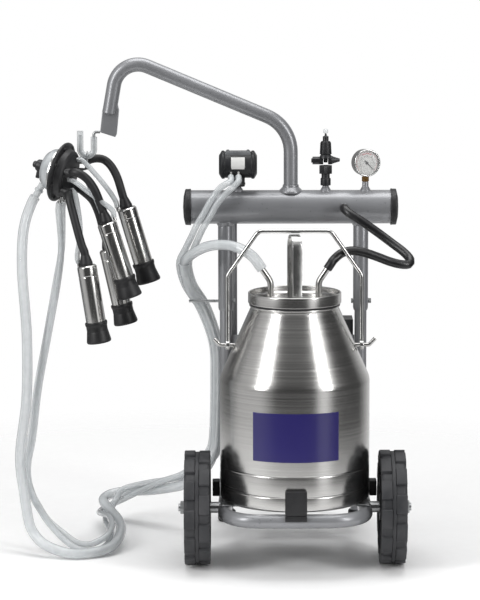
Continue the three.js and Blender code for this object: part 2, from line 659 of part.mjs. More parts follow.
// ---------------------------------------------------------------- vacuum regulator
const regulatorFoot = TANK_Z + REGULATOR_BOSS_TOP + GAP;
const regulator = new THREE.Group();
regulator.position.set(REGULATOR_X, UPRIGHT_Y, regulatorFoot);
group.add(regulator);
const REGULATOR_SCREW_RADIUS = 4;
const REGULATOR_BODY_TOP = 64;
add(
  "regulator_body",
  cut(
    join(
      turned([
        [0, 0], [10.5, 0], [10.5, 36], [7, 38], [7, 41], [13, 43], [13, 58], [10, REGULATOR_BODY_TOP],
          [0, REGULATOR_BODY_TOP],
      ], 20),
      rodX(8, -27, -5, 6).translate(0, 0, 51),
      turned([[0, 5], [9, 5], [9, 12], [3, 29], [0, 29]], SMALL).rotateY(Math.PI / 2).translate(0, 0, 52),
    ),
    rod(REGULATOR_SCREW_RADIUS + SLIP, 45, REGULATOR_BODY_TOP + 1, 12),
  ),
  blackPlastic,
  regulator,
);
const adjusterFoot = REGULATOR_BODY_TOP + GAP;
add(
  "regulator_adjuster",
  join(
    turned([
      [0, 47], [REGULATOR_SCREW_RADIUS, 47], [REGULATOR_SCREW_RADIUS, adjusterFoot], [11.5, adjusterFoot],
        [10, adjusterFoot + 26],
      [6, adjusterFoot + 27], [6, adjusterFoot + 36], [2, adjusterFoot + 38], [2, adjusterFoot + 42],
      [5, adjusterFoot + 44], [5, adjusterFoot + 49], [2, adjusterFoot + 51], [0, adjusterFoot + 51],
    ], SMALL),
    ...[0, 1, 2, 3].map((i) => block(-12.5, 12.5, -1.5, 1.5, adjusterFoot,
      adjusterFoot + 24).rotateZ((i * Math.PI) / 4)),
  ),
  blackPlastic,
  regulator,
);

// ---------------------------------------------------------------- vacuum gauge
const gauge = new THREE.Group();
gauge.position.set(GAUGE_X, UPRIGHT_Y, GAUGE_Z);
group.add(gauge);
const gaugeFoot = TANK_Z + GAUGE_BOSS_TOP + GAP - GAUGE_Z;
const gaugeFace = new THREE.Group(); // its +Z is the way the dial looks
gaugeFace.rotation.set(Math.PI / 2, 0, 0);
const gaugeTurn = new THREE.Group();
gaugeTurn.rotation.z = GAUGE_TURN;
gaugeTurn.add(gaugeFace);
gauge.add(gaugeTurn);
const DIAL_Z = GAUGE_DEPTH / 2 - 6;
add(
  "gauge_case",
  cut(
    join(
      turned([
        [0, -GAUGE_DEPTH / 2], [GAUGE_RADIUS - 4, -GAUGE_DEPTH / 2],
          [GAUGE_RADIUS - 1, -GAUGE_DEPTH / 2 + 3], [GAUGE_RADIUS - 1, GAUGE_DEPTH / 2 - 9],
        [GAUGE_RADIUS, GAUGE_DEPTH / 2 - 8], [GAUGE_RADIUS, GAUGE_DEPTH / 2 - 1],
          [GAUGE_RADIUS - 1, GAUGE_DEPTH / 2],
        [GAUGE_RADIUS - 2.5, GAUGE_DEPTH / 2], [GAUGE_RADIUS - 2.5, DIAL_Z], [0, DIAL_Z],
      ], 32),
      rod(6.5, -gaugeFoot - 12, -gaugeFoot, 6).rotateX(Math.PI / 2),
      rod(4, GAUGE_RADIUS - 6, -gaugeFoot - 11, 12).rotateX(Math.PI / 2),
    ),
    rod(1.2, DIAL_Z - 3, DIAL_Z + 1, 10),
  ),
  steel,
  gaugeFace,
);
const NEEDLE_ANGLE = THREE.MathUtils.degToRad(-45); // it points to the lower right
add(
  "gauge_needle",
  join(
    rod(0.9, DIAL_Z - 2.5, DIAL_Z + 2, 8),
    rod(3, DIAL_Z + 1, DIAL_Z + 2.2, 12),
    block(-6, GAUGE_RADIUS - 7, -0.8, 0.8, DIAL_Z + 1, DIAL_Z + 2),
  ).rotateZ(NEEDLE_ANGLE),
  blackPlastic,
  gaugeFace,
);

// ---------------------------------------------------------------- motor, shaft and vane pump
const shaftZ = platformTop + DRIVE_HEIGHT;
const drive = new THREE.Group();
drive.position.set(0, DRIVE_Y, shaftZ);
group.add(drive);
const motorRight = MOTOR_LEFT_X + MOTOR_LENGTH;
const footTop = -DRIVE_HEIGHT + GAP;
const motorFins = [];
const FINS = 7;
for (let i = 0; i < FINS; i++) {
  const tilt = ((i - (FINS - 1) / 2) * Math.PI) / FINS;
  motorFins.push(block(MOTOR_LEFT_X + 16, motorRight - 34, -1.5, 1.5, MOTOR_RADIUS - 6,
    MOTOR_RADIUS + 5).rotateX(tilt));
}
add(
  "motor_body",
  cut(
    join(
      turned([
        [0, MOTOR_LEFT_X], [22, MOTOR_LEFT_X], [26, MOTOR_LEFT_X + 6], [MOTOR_RADIUS - 4, MOTOR_LEFT_X + 10],
        [MOTOR_RADIUS, MOTOR_LEFT_X + 15], [MOTOR_RADIUS, motorRight - 32],
          [MOTOR_RADIUS + 2, motorRight - 30],
        [MOTOR_RADIUS + 2, motorRight - 8], [MOTOR_RADIUS - 10, motorRight], [0, motorRight],
      ], 24).rotateY(Math.PI / 2),
      block(MOTOR_LEFT_X + 20, motorRight - 36, -MOTOR_RADIUS, MOTOR_RADIUS, footTop, footTop + 7),
      block(MOTOR_LEFT_X + 26, motorRight - 42, -30, 30, footTop, -MOTOR_RADIUS + 16),
      block(MOTOR_LEFT_X + 30, motorRight - 46, 12, 62, MOTOR_RADIUS - 34, MOTOR_RADIUS + 12).translate(0,
        -6, 0),
      ...motorFins,
    ),
    rodX(SHAFT_RADIUS + SLIP, MOTOR_LEFT_X - 1, motorRight - 40, SMALL),
  ),
  motorPaint,
  drive,
);
const pumpRight = PUMP_LEFT_X + PUMP_LENGTH;
const COUPLING_RADIUS = 15;
const PUMP_ROTOR_RADIUS = 32;
const PUMP_PORT_X = PUMP_LEFT_X + 34;
const pumpPortTop = PUMP_RADIUS + 16;
add(
  "pump_body",
  cut(
    join(
      rodX(PUMP_RADIUS, PUMP_LEFT_X + 6, pumpRight - 6, 24),
      rodX(PUMP_RADIUS + 4, PUMP_LEFT_X + 2, PUMP_LEFT_X + 10, 24),
      rodX(PUMP_RADIUS + 4, pumpRight - 10, pumpRight, 24),
      block(PUMP_LEFT_X + 8, pumpRight - 8, -PUMP_RADIUS + 4, PUMP_RADIUS - 4, footTop, footTop + 8),
      block(PUMP_LEFT_X + 14, pumpRight - 14, -26, 26, footTop, -PUMP_RADIUS + 14),
      rod(13, PUMP_RADIUS - 8, pumpPortTop, SMALL).translate(PUMP_PORT_X, 0, 0),
      rodY(11, PUMP_RADIUS - 8, PUMP_RADIUS + 12, SMALL).translate(PUMP_PORT_X, 0, 12),
      rodY(20, PUMP_RADIUS + 10, PUMP_RADIUS + 62, 20).translate(PUMP_PORT_X, 0, 12),
    ),
    rodX(PUMP_ROTOR_RADIUS + SLIP, PUMP_LEFT_X + 12, pumpRight - 12, 24),
    rodX(SHAFT_RADIUS + SLIP, PUMP_LEFT_X + 13, pumpRight + 1, SMALL),
  ),
  motorPaint,
  drive,
);
add(
  "drive_shaft",
  join(
    rodX(SHAFT_RADIUS, pumpRight - 13, motorRight - 42, SMALL),
    rodX(COUPLING_RADIUS, pumpRight + 4, MOTOR_LEFT_X - 4, 20),
    rodX(PUMP_ROTOR_RADIUS - 2, PUMP_LEFT_X + 13, pumpRight - 12.5, 24),
  ),
  zinc,
  drive,
);
const pipeTop = TANK_Z - TANK_RADIUS + 1.5;
add(
  "suction_pipe",
  tube(
    bentPath(
      [
        V(SUCTION_X, SUCTION_Y, pipeTop), V(SUCTION_X, SUCTION_Y, 330), V(PUMP_PORT_X, DRIVE_Y, 300),
        V(PUMP_PORT_X, DRIVE_Y, shaftZ + pumpPortTop + GAP),
      ],
      [28, 24], 15,
    ),
    SUCTION_RADIUS, TUBE_SIDES,
  ),
  greyPaint,
);

// ---------------------------------------------------------------- switch box
const BOX = { x0: 45, x1: 124, depth: 58, z0: 408, z1: 464 };
const boxFront = UPRIGHT_Y + PLATE_THICKNESS / 2 + GAP;
const ROCKER_X = 85;
const ROCKER_Y = boxFront + 28;
add(
  "switch_box",
  cut(
    join(
      block(BOX.x0, BOX.x1, boxFront, boxFront + BOX.depth, BOX.z0, BOX.z1),
      rod(9, BOX.z0 - 16, BOX.z0 + 2, 6).translate(BOX.x0 + 20, boxFront + 30, 0),
    ),
    block(ROCKER_X - 13, ROCKER_X + 13, ROCKER_Y - 8.5, ROCKER_Y + 8.5, BOX.z1 - 12, BOX.z1 + 1),
    rod(4, BOX.z0 - 17, BOX.z0 - 4, 12).translate(BOX.x0 + 20, boxFront + 30, 0),
  ),
  blackPlastic,
);
add(
  "switch_rocker",
  slab([[-12, 0.5], [-8, -5], [8, -5], [12, 0.5], [11, 4], [0, 2], [-11, 1]], -7.5, 7.5),
  blackPlastic,
).position.set(ROCKER_X, ROCKER_Y, BOX.z1 - 1);

// ---------------------------------------------------------------- can
const can = new THREE.Group();
can.position.z = canBottom;
group.add(can);
const ringRadius = CAN_RADIUS - 0.6;
const coneSlope = (CAN_RADIUS - NECK_RADIUS) / (CAN_MOUTH - 4 - CAN_SHOULDER);
const w = CAN_WALL;
const canShell = turned([
  [0, 0], [ringRadius - 3, 0], [ringRadius, 3], [ringRadius, CAN_BASE_RING],
    [CAN_RADIUS - 2, CAN_BASE_RING + 1.5],
  [CAN_RADIUS, CAN_BASE_RING + 4], [CAN_RADIUS, CAN_SHOULDER - 5], [CAN_RADIUS - 2.5, CAN_SHOULDER + 5],
    [NECK_RADIUS, CAN_MOUTH - 5],
  [NECK_RADIUS + 5, CAN_MOUTH - 3], [NECK_RADIUS + 4, CAN_MOUTH], [NECK_RADIUS - w, CAN_MOUTH],
  [NECK_RADIUS - w, CAN_MOUTH - 6], [CAN_RADIUS - 2.5 - w, CAN_SHOULDER + 4],
    [CAN_RADIUS - w, CAN_SHOULDER - 6],
  [CAN_RADIUS - w, 12], [CAN_RADIUS - 12, 3], [0, 3],
], 32);
const earRoot = CAN_RADIUS - (BAIL_PIVOT - CAN_SHOULDER) * coneSlope - 1;
const ears = [-1, 1].map((s) =>
  tube(
    bentPath([V(s * earRoot, 0, BAIL_PIVOT), V(s * (BAIL_HALF_WIDTH + 15), 0, BAIL_PIVOT),
      V(s * (BAIL_HALF_WIDTH + 27), 0, BAIL_PIVOT + 13)], 6, 30),
    EAR_WIRE, 8,
  ),
);
add("can_body", join(canShell, ...ears), steel, can);

// ---------------------------------------------------------------- bail
const eye = (s) =>
  cut(
    rodX(9.2, -BAIL_WIRE, BAIL_WIRE, SMALL),
    rodX(EAR_WIRE + 0.6, -BAIL_WIRE - 1, BAIL_WIRE + 1, SMALL),
  ).translate(s * BAIL_HALF_WIDTH, 0, 0);
const bailPath = bentPath(
  [
    V(-BAIL_HALF_WIDTH, 0, 7), V(-BAIL_HALF_WIDTH, 0, BAIL_KNEE), V(-BAIL_TOP_HALF, 0, BAIL_TOP),
      V(BAIL_TOP_HALF, 0, BAIL_TOP),
    V(BAIL_HALF_WIDTH, 0, BAIL_KNEE), V(BAIL_HALF_WIDTH, 0, 7),
  ],
  [20, 18, 18, 20],
);
add("bail_handle", join(tube(bailPath, BAIL_WIRE, 8), eye(-1), eye(1)), steel, can).position.z = BAIL_PIVOT;

// ---------------------------------------------------------------- lid, gasket and lid handle
const gasketZ = canBottom + CAN_MOUTH + GAP;
add(
  "lid_gasket",
  ring([[NECK_RADIUS - 5, 0], [NECK_RADIUS + 5, 0], [NECK_RADIUS + 5, GASKET_HEIGHT - 2],
    [NECK_RADIUS - 5, GASKET_HEIGHT - 2]]),
  blackRubber,
).position.z = gasketZ;
const lid = new THREE.Group();
lid.position.z = gasketZ + GASKET_HEIGHT - 2 + GAP;
group.add(lid);
const floorUnder = 5.5;
const floorTop = floorUnder + LID_WALL;
const NOZZLE_CORNER_Z = 42;
const NOZZLE_END = [17, 67]; // out from the nozzle's foot, and above the lid's lower edge
const nozzlePath = (s, from, past) => {
  const start = V(s * NOZZLE_X, 0, from);
  const corner = V(s * NOZZLE_X, 0, NOZZLE_CORNER_Z);
  const end = V(s * (NOZZLE_X + NOZZLE_END[0]), 0, NOZZLE_END[1]);
  end.addScaledVector(end.clone().sub(corner).normalize(), past);
  return bentPath([start, corner, end], 22);
};
add(
  "lid",
  cut(
    join(
      turned([
        [0, floorUnder], [NECK_RADIUS - 9, floorUnder], [NECK_RADIUS - 6, 0], [LID_RADIUS - 1, 0],
          [LID_RADIUS, 1],
        [LID_RADIUS, LID_HEIGHT - 1.5], [LID_RADIUS - 1, LID_HEIGHT], [LID_RADIUS - 2.5, LID_HEIGHT],
        [LID_RADIUS - 3.5, LID_HEIGHT - 1], [LID_RADIUS - 3.5, floorTop + 3], [LID_RADIUS - 7, floorTop],
          [0, floorTop],
      ], 32),
      ...[-1, 1].map((s) => tube(nozzlePath(s, -10, 0), NOZZLE_RADIUS, 10)),
    ),
    ...[-1, 1].map((s) => tube(nozzlePath(s, -11, 1), NOZZLE_BORE, 8)),
  ),
  steel,
  lid,
);
const handleFoot = floorTop + GAP;
const handleTop = LID_HEIGHT + LID_HANDLE_TOP;
function archOutline() {
  const outer = LID_HANDLE_SPAN / 2 + LID_HANDLE_THICKNESS;
  const inner = LID_HANDLE_SPAN / 2;
  const centre = handleTop - outer;
  const t = LID_HANDLE_THICKNESS;
  const toe = 12;
  const points = [[-outer - toe, handleFoot], [-inner, handleFoot]];
  const STEPS = 10;
  for (let i = 0; i <= STEPS; i++) {
    const a = Math.PI - (Math.PI * i) / STEPS;
    points.push([inner * Math.cos(a), centre + inner * Math.sin(a)]);
  }
  points.push([inner, handleFoot], [outer + toe, handleFoot], [outer + toe, handleFoot + t],
    [outer, handleFoot + t]);
  for (let i = 0; i <= STEPS; i++) {
    const a = (Math.PI * i) / STEPS;
    points.push([outer * Math.cos(a), centre + outer * Math.sin(a)]);
  }
  points.push([-outer, handleFoot + t], [-outer - toe, handleFoot + t]);
  return points;
}
add(
  "lid_handle",
  slab(archOutline(), -LID_HANDLE_WIDTH / 2, LID_HANDLE_WIDTH / 2).rotateZ(Math.PI / 2 + LID_HANDLE_TURN),
  steel,
  lid,
);

// ---------------------------------------------------------------- cluster: claw
const clawWay = V(
  Math.cos(CLAW_DROP) * Math.cos(CLAW_TURN), -Math.cos(CLAW_DROP) * Math.sin(CLAW_TURN), -Math.sin(CLAW_DROP),
);
const clawUp = V(0, 0, 1).addScaledVector(clawWay, -clawWay.z).normalize();
const clawBack = clawUp.clone().cross(clawWay).normalize();
const claw = new THREE.Group(); // its +Z is the claw's axis, +Y up and +X to the back
claw.position.copy(CLAW);
claw.setRotationFromMatrix(new THREE.Matrix4().makeBasis(clawBack, clawUp, clawWay));
claw.updateMatrix();
group.add(claw);
const intoClaw = claw.matrix.clone().invert();
const fromClaw = (v) => v.clone().applyMatrix4(claw.matrix);

/** A round stub from a point along a direction. */
function stub(at, way, length, radius, sides = 10) {
  const turn = new THREE.Quaternion().setFromUnitVectors(V(0, 0, 1), way.clone().normalize());
  return rod(radius, 0, length, sides).applyQuaternion(turn).translate(at.x, at.y, at.z);
}
const NIPPLE_RADIUS = 7.5;
const HUB_FACE = 22;
// milk nipples on the hub: foot, way and length, in the claw's coordinates
const milkNipples = {
  a: { at: V(40, 24, 14), way: V(0.6, 0.25, 0.76), length: 16 },
  b: { at: V(-33, 10, 16), way: V(-0.15, 0, 0.99), length: 12 },
  c: { at: V(26, -26, 16), way: V(0.1, -0.1, 0.99), length: 12 },
  d: { at: V(-26, -28, 16), way: V(-0.1, -0.15, 0.98), length: 12 },
};
const nippleTip = ({ at, way, length }) => at.clone().addScaledVector(way.clone().normalize(), length);
const shortPulseNipples = [V(10, 32, 0), V(-20, -7, 0), V(32, -2, 0), V(-2, -34, 0)];
const LONG_PULSE_X = 10;
const LONG_PULSE_Z = 16;
const LONG_PULSE_TIP = 60; // from the claw's axis

const RING_X = HOOK_X;
const RING_WIRE = 1.3;
const RING_HALF_WIDTH = SLEEVE_RADIUS + RING_WIRE + 0.7;
const ringTop = HOOK_Z - HOOK_RADIUS + SLEEVE_RADIUS + RING_WIRE + 0.5;
const RING_HEIGHT = 31.5;
const eyeZ = ringTop - RING_HEIGHT;
const eyePlate = cut(
  slab([[RING_X - 32, eyeZ - 12], [RING_X - 4, eyeZ - 6], [RING_X + 5, eyeZ - 2], [RING_X + 5, eyeZ + 4],
    [RING_X - 2, eyeZ + 5], [RING_X - 32, eyeZ]], UPRIGHT_Y - 1.25, UPRIGHT_Y + 1.25),
  rodY(RING_WIRE + 0.9, UPRIGHT_Y - 3, UPRIGHT_Y + 3, 12).translate(RING_X, 0, eyeZ),
).applyMatrix4(intoClaw);
add(
  "claw_manifold",
  join(
    turned([
      [0, -4], [CLAW_DISC_RADIUS - 4, -4], [CLAW_DISC_RADIUS, -2], [CLAW_DISC_RADIUS, 2],
        [CLAW_DISC_RADIUS - 5, 5],
      [CLAW_HUB_RADIUS + 1, 6], [CLAW_HUB_RADIUS - 2, 17], [CLAW_HUB_RADIUS - 8, HUB_FACE], [0, HUB_FACE],
    ], 30),
    ...Object.values(milkNipples).map((n) => stub(n.at, n.way, n.length, NIPPLE_RADIUS)),
    ...shortPulseNipples.map((p) => stub(V(p.x, p.y, HUB_FACE - 3), V(0, 0, 1), 13, PULSE_NIPPLE_RADIUS, 8)),
    ...[-LONG_PULSE_X, LONG_PULSE_X].map((x) => stub(V(x, -36, LONG_PULSE_Z), V(0, -1, 0),
      LONG_PULSE_TIP - 36, PULSE_NIPPLE_RADIUS, 8)),
    eyePlate,
  ),
  blackRubber,
  claw,
);
const bowlTop = -4 - GAP;
const bowlEnd = bowlTop - CLAW_BOWL_DEPTH;
const BOWL_WALL = 2;
const VALVE_STEM = 5;
const R = CLAW_BOWL_RADIUS;
const outletWay = V(-0.21, -0.945, -0.235).normalize();
const outletAt = V(-8, -20, bowlEnd + 12);
const OUTLET_LENGTH = 44;
const OUTLET_RADIUS = 7;
add(
  "claw_bowl",
  cut(
    join(
      cut(
        turned([[0, bowlTop], [R, bowlTop], [R, bowlTop - 8], [R - 4, bowlTop - 20], [R - 13, bowlEnd + 4],
          [R - 25, bowlEnd], [0, bowlEnd]], 24),
        stub(outletAt, outletWay, OUTLET_LENGTH, OUTLET_RADIUS - 0.5),
      ),
      stub(outletAt, outletWay, OUTLET_LENGTH, OUTLET_RADIUS),
    ),
    turned([
      [0, bowlTop + 1], [R - BOWL_WALL, bowlTop + 1], [R - BOWL_WALL, bowlTop - 8],
        [R - 4 - BOWL_WALL, bowlTop - 19],
      [R - 14 - BOWL_WALL, bowlEnd + 4 + BOWL_WALL], [R - 26, bowlEnd + BOWL_WALL], [0, bowlEnd + BOWL_WALL],
    ], 24),
    rod(VALVE_STEM + SLIP, bowlEnd - 1, bowlEnd + 3, 12),
  ),
  clearPlastic,
  claw,
);
const VALVE_TRAVEL = 6;
const valveFace = bowlEnd - GAP;
add(
  "claw_valve",
  join(
    rod(VALVE_STEM, valveFace - 4, bowlEnd + BOWL_WALL + VALVE_TRAVEL + 5, 12),
    rod(VALVE_STEM + 4, bowlEnd + BOWL_WALL + VALVE_TRAVEL + GAP, bowlEnd + BOWL_WALL + VALVE_TRAVEL + 5, 12),
    rod(VALVE_RADIUS, valveFace - 16, valveFace, 20),
    block(-6, 6, -26, 12, valveFace - 12, valveFace - 4),
    rod(7, valveFace - 24, valveFace - 15, 12),
  ),
  blackPlastic,
  claw,
);
const ringPath = bentPath(
  [
    V(RING_X, UPRIGHT_Y, eyeZ), V(RING_X, UPRIGHT_Y + RING_HALF_WIDTH, eyeZ),
      V(RING_X, UPRIGHT_Y + RING_HALF_WIDTH, ringTop),
    V(RING_X, UPRIGHT_Y - RING_HALF_WIDTH, ringTop), V(RING_X, UPRIGHT_Y - RING_HALF_WIDTH, eyeZ),
      V(RING_X, UPRIGHT_Y - GAP, eyeZ),
  ],
  RING_HALF_WIDTH - 1, 22,
);
add("hanger_ring", tube(ringPath, RING_WIRE, 6), zinc);

// ---------------------------------------------------------------- cluster: four cups
const STEM_TOP = -22; // where a liner's cone becomes the short milk tube
const cups = [
  { name: "a", top: V(-342, 185, 697), end: V(-306, 185, 574), spout: 0,
    route: [V(-417, 200, 795), V(-403, 203, 797), V(-388, 204, 794), V(-374, 200, 782), V(-361, 194, 759)] },
  { name: "b", top: V(-380, 125, 674), end: V(-342, 125, 550), spout: Math.PI,
    route: [V(-440, 111, 778), V(-420, 108, 767), V(-404, 112, 745), V(-393, 118, 717)] },
  { name: "c", top: V(-381, 210, 609), end: V(-354.5, 210, 490), spout: 0.6 * Math.PI,
    route: [V(-429, 178, 731), V(-411, 186, 712), V(-399, 196, 682), V(-391, 204, 648)] },
  { name: "d", top: V(-420, 100, 590), end: V(-401.5, 100, 468), spout: -0.15 * Math.PI,
    route: [V(-455, 121, 724), V(-449, 114, 702), V(-440, 107, 668), V(-430, 102, 632)] },
];
for (const { name, top, end, spout, route } of cups) {
  const way = end.clone().sub(top).normalize();
  const cup = new THREE.Group();
  cup.position.copy(top);
  cup.quaternion.setFromUnitVectors(V(0, 0, 1), way);
  cup.updateMatrix();
  group.add(cup);
  const tip = SHELL_RADIUS - 2;
  add(
    `teat_shell_${name}`,
    join(
      ring([
        [LINER_STEM + SLIP, 0], [SHELL_RADIUS - 2, 0], [SHELL_RADIUS, 2], [SHELL_RADIUS, SHELL_LENGTH],
        [SHELL_RADIUS - SHELL_WALL, SHELL_LENGTH], [SHELL_RADIUS - SHELL_WALL, 2.4],
          [SHELL_RADIUS - 2.4, SHELL_WALL], [LINER_STEM + SLIP, SHELL_WALL],
      ], 20),
      rod(3.5, -12, 2.2, 8).translate(tip * Math.cos(spout), -tip * Math.sin(spout), 0),
    ),
    steel,
    cup,
  );
  const headEnd = SHELL_LENGTH + 37.5;
  const grip = SHELL_RADIUS + SLIP;
  const body = turned([
    [0, 32], [LINER_BORE - 1, 32], [LINER_BORE, SHELL_LENGTH + 9], [LINER_BORE, headEnd - 2],
    [LINER_BORE + 2, headEnd], [grip + 3.5, headEnd], [grip + 5.2, headEnd - 2.5],
      [grip + 1.3, SHELL_LENGTH + 15],
    [grip + 2.5, SHELL_LENGTH - 1], [grip + 2.5, SHELL_LENGTH - 6], [grip, SHELL_LENGTH - 6],
      [grip, SHELL_LENGTH + GAP],
    [LINER_BORE + 2.2, SHELL_LENGTH + GAP], [LINER_BORE + 2.2, 30], [LINER_STEM, 22], [LINER_STEM, -GAP],
      [13, -GAP], [13, -4],
    [MILK_TUBE_RADIUS - 1, STEM_TOP], [0, STEM_TOP],
  ], 20).applyMatrix4(cup.matrix);
  const nipple = milkNipples[name];
  const tipAt = fromClaw(nippleTip(nipple));
  const tipWay = nipple.way.clone().normalize().transformDirection(claw.matrix);
  const stemAt = top.clone().addScaledVector(way, STEM_TOP);
  const path = smoothPath(
    [
      tipAt.clone().addScaledVector(tipWay, GAP), tipAt.clone().addScaledVector(tipWay, 7), ...route,
      stemAt.clone().addScaledVector(way, -6), stemAt.clone().addScaledVector(way, 6),
    ],
    28,
  );
  add(`teat_liner_${name}`, join(body, tube(path, MILK_TUBE_RADIUS - 1, HOSE_SIDES)), blackRubber);
}

// ---------------------------------------------------------------- hoses
const points = (list) => list.map(([x, y, z]) => V(x, y, z));
const TIE = V(-222, 150, 577); // the milk hose is in two lengths that meet at the tie
const TIE_WAY = V(0.06, 0.51, -0.86).normalize();
const END_STRAIGHT = 14; // a hose leaves its nipple straight for this far

/** Two points that start a hose square to the end of its nipple. */
const straightFrom = (tip, way) => [
  tip.clone().addScaledVector(way, GAP), tip.clone().addScaledVector(way, END_STRAIGHT),
];
const straightInto = (tip, way) => straightFrom(tip, way).reverse();

const tankNippleTip = V(TANK_NIPPLE_X, UPRIGHT_Y - TANK_RADIUS - TANK_NIPPLE_LENGTH, TANK_Z + 3);
const [leftNozzleTip, rightNozzleTip] = [-1, 1].map((s) =>
  V(s * (NOZZLE_X + NOZZLE_END[0]), 0, lid.position.z + NOZZLE_END[1]),
);
const nozzleWay = (s) => V(s * NOZZLE_END[0], 0, NOZZLE_END[1] - NOZZLE_CORNER_Z).normalize();
const outletTip = fromClaw(outletAt.clone().addScaledVector(outletWay, OUTLET_LENGTH));
const outletDown = outletWay.clone().transformDirection(claw.matrix);
const longPulseTip = (x) => fromClaw(V(x, -LONG_PULSE_TIP, LONG_PULSE_Z));
const longPulseDown = clawUp.clone().negate();
const pulsatorTip = (x) =>
  V(PULSATOR_X + x, UPRIGHT_Y + PULSE_FOOT[0] - PULSE_REACH * Math.cos(PULSE_DIP),
    PULSATOR_Z + PULSE_FOOT[1] - PULSE_REACH * Math.sin(PULSE_DIP));
const pulsatorDown = V(0, -Math.cos(PULSE_DIP), -Math.sin(PULSE_DIP));

const vacuumRoute = [
  ...straightFrom(tankNippleTip, V(0, -1, 0)),
  ...points([
    [112, 108, 694], [132, 101, 682], [153, 97, 668], [176, 90, 652], [200, 78, 635], [221, 64, 620],
      [233, 50, 607], [229, 38, 599],
    [212, 32, 600], [190, 30, 606], [165, 27, 616], [136, 23, 626], [112, 19, 629], [92, 13, 624],
      [77, 5, 612],
  ]),
  ...straightInto(rightNozzleTip, nozzleWay(1)),
];
const milkLidRoute = [
  ...straightFrom(leftNozzleTip, nozzleWay(-1)),
  ...points([[-83, 6, 619], [-102, 17, 631], [-127, 33, 638], [-153, 55, 637], [-179, 80, 629],
    [-203, 104, 614], [-218, 126, 599]]),
  ...straightInto(TIE, TIE_WAY.clone().negate()),
];
const milkClawRoute = [
  ...straightFrom(TIE, TIE_WAY),
  ...points([
    [-211, 188, 524], [-183, 212, 476], [-161, 222, 405], [-158, 224, 330], [-161, 220, 214],
      [-168, 222, 171], [-185, 230, 139],
    [-221, 258, 103], [-265, 294, 84], [-309, 330, 71], [-353, 362, 62], [-382, 367, 57], [-400, 350, 53],
      [-403, 322, 48],
    [-381, 262, 38], [-366, 215, 33], [-358, 155, 28], [-363, 88, 21], [-382, 44, 14], [-412, 25, 11],
      [-445, 15, 11],
    [-476, 22, 15], [-510, 36, 27], [-530, 50, 44], [-541, 58, 67], [-550, 65, 124], [-558, 72, 202],
      [-544, 82, 320],
    [-543, 98, 447], [-552, 120, 568], [-552, 138, 637], [-546, 152, 677],
  ]),
  ...straightInto(outletTip, outletDown),
];
const pulseFrontRoute = [
  ...straightFrom(pulsatorTip(PULSE_NIPPLES[1]), pulsatorDown),
  ...points([
    [-123, 127, 745], [-139, 124, 731], [-156, 121, 711], [-170, 118, 686], [-184, 117, 663],
      [-195, 122, 639], [-206, 142, 612],
    [-214, 165, 582], [-205, 206, 536], [-177, 232, 484], [-153, 242, 406], [-150, 243, 330],
      [-153, 239, 213], [-159, 241, 171],
    [-183, 247, 147], [-220, 271, 117], [-267, 299, 101], [-316, 326, 87], [-361, 341, 72], [-375, 333, 55],
      [-386, 318, 36],
    [-397, 302, 22], [-396, 260, 20], [-388, 212, 21], [-379, 155, 18], [-383, 92, 13], [-396, 55, 11],
      [-416, 46, 9],
    [-442, 46, 14], [-470, 57, 31], [-500, 73, 59], [-519, 82, 85], [-534, 90, 110], [-544, 98, 147],
      [-544, 103, 184],
    [-534, 108, 235], [-521, 113, 336], [-502, 122, 437], [-482, 136, 546], [-474, 146, 620],
  ]),
  ...straightInto(longPulseTip(-LONG_PULSE_X), longPulseDown),
];
const pulseRearRoute = [
  ...straightFrom(pulsatorTip(PULSE_NIPPLES[0]), pulsatorDown),
  ...points([
    [-137, 128, 752], [-151, 126, 742], [-168, 122, 719], [-182, 118, 694], [-196, 117, 671],
      [-207, 122, 647], [-220, 142, 619],
    [-234, 166, 584], [-224, 206, 533], [-193, 232, 477], [-169, 242, 405], [-166, 243, 330],
      [-169, 239, 214], [-177, 242, 177],
    [-197, 242, 155], [-231, 259, 123], [-275, 287, 101], [-319, 315, 76], [-359, 341, 51], [-388, 349, 36],
      [-407, 332, 29],
    [-411, 297, 31], [-402, 257, 38], [-386, 211, 43], [-377, 154, 41], [-381, 90, 34], [-398, 72, 25],
      [-420, 66, 18],
    [-445, 66, 22], [-474, 77, 40], [-503, 90, 62], [-522, 99, 88], [-538, 112, 116], [-552, 121, 164],
      [-550, 123, 186],
    [-539, 124, 237], [-526, 129, 334], [-507, 138, 435], [-487, 152, 544], [-474, 162, 620],
  ]),
  ...straightInto(longPulseTip(LONG_PULSE_X), longPulseDown),
];
const hoses = [
  ["vacuum_hose", vacuumRoute, VACUUM_HOSE_RADIUS, blackRubber],
  ["milk_hose_lid", milkLidRoute, MILK_HOSE_RADIUS, clearPlastic],
  ["milk_hose_claw", milkClawRoute, MILK_HOSE_RADIUS, clearPlastic],
  ["pulse_hose_front", pulseFrontRoute, PULSE_HOSE_RADIUS, clearPlastic],
  ["pulse_hose_rear", pulseRearRoute, PULSE_HOSE_RADIUS, clearPlastic],
];
for (const [name, route, radius, material] of hoses) add(name, tube(smoothPath(route), radius, HOSE_SIDES),
  material);

// ---------------------------------------------------------------- origin under the middle of the box
const cords = hoses.map(([name]) => name);
const bounds = new THREE.Box3();
group.updateMatrixWorld(true);
group.traverse((object) => {
  if (object.isMesh && !cords.includes(object.name)) bounds.expandByObject(object, true);
});
const middle = bounds.getCenter(V(0, 0, 0));
group.position.set(-middle.x, -middle.y, -bounds.min.z);

export default group;
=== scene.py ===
"""A trolley milking machine: a steel can on a wheeled tube frame, with a vacuum tank, a pump and teat cups.

Pieces are laid out in millimetres from the can's axis, with the floor at z = 0 and the front at -Y.
"""

import math

import bmesh
import bpy
from mathutils import Matrix, Vector


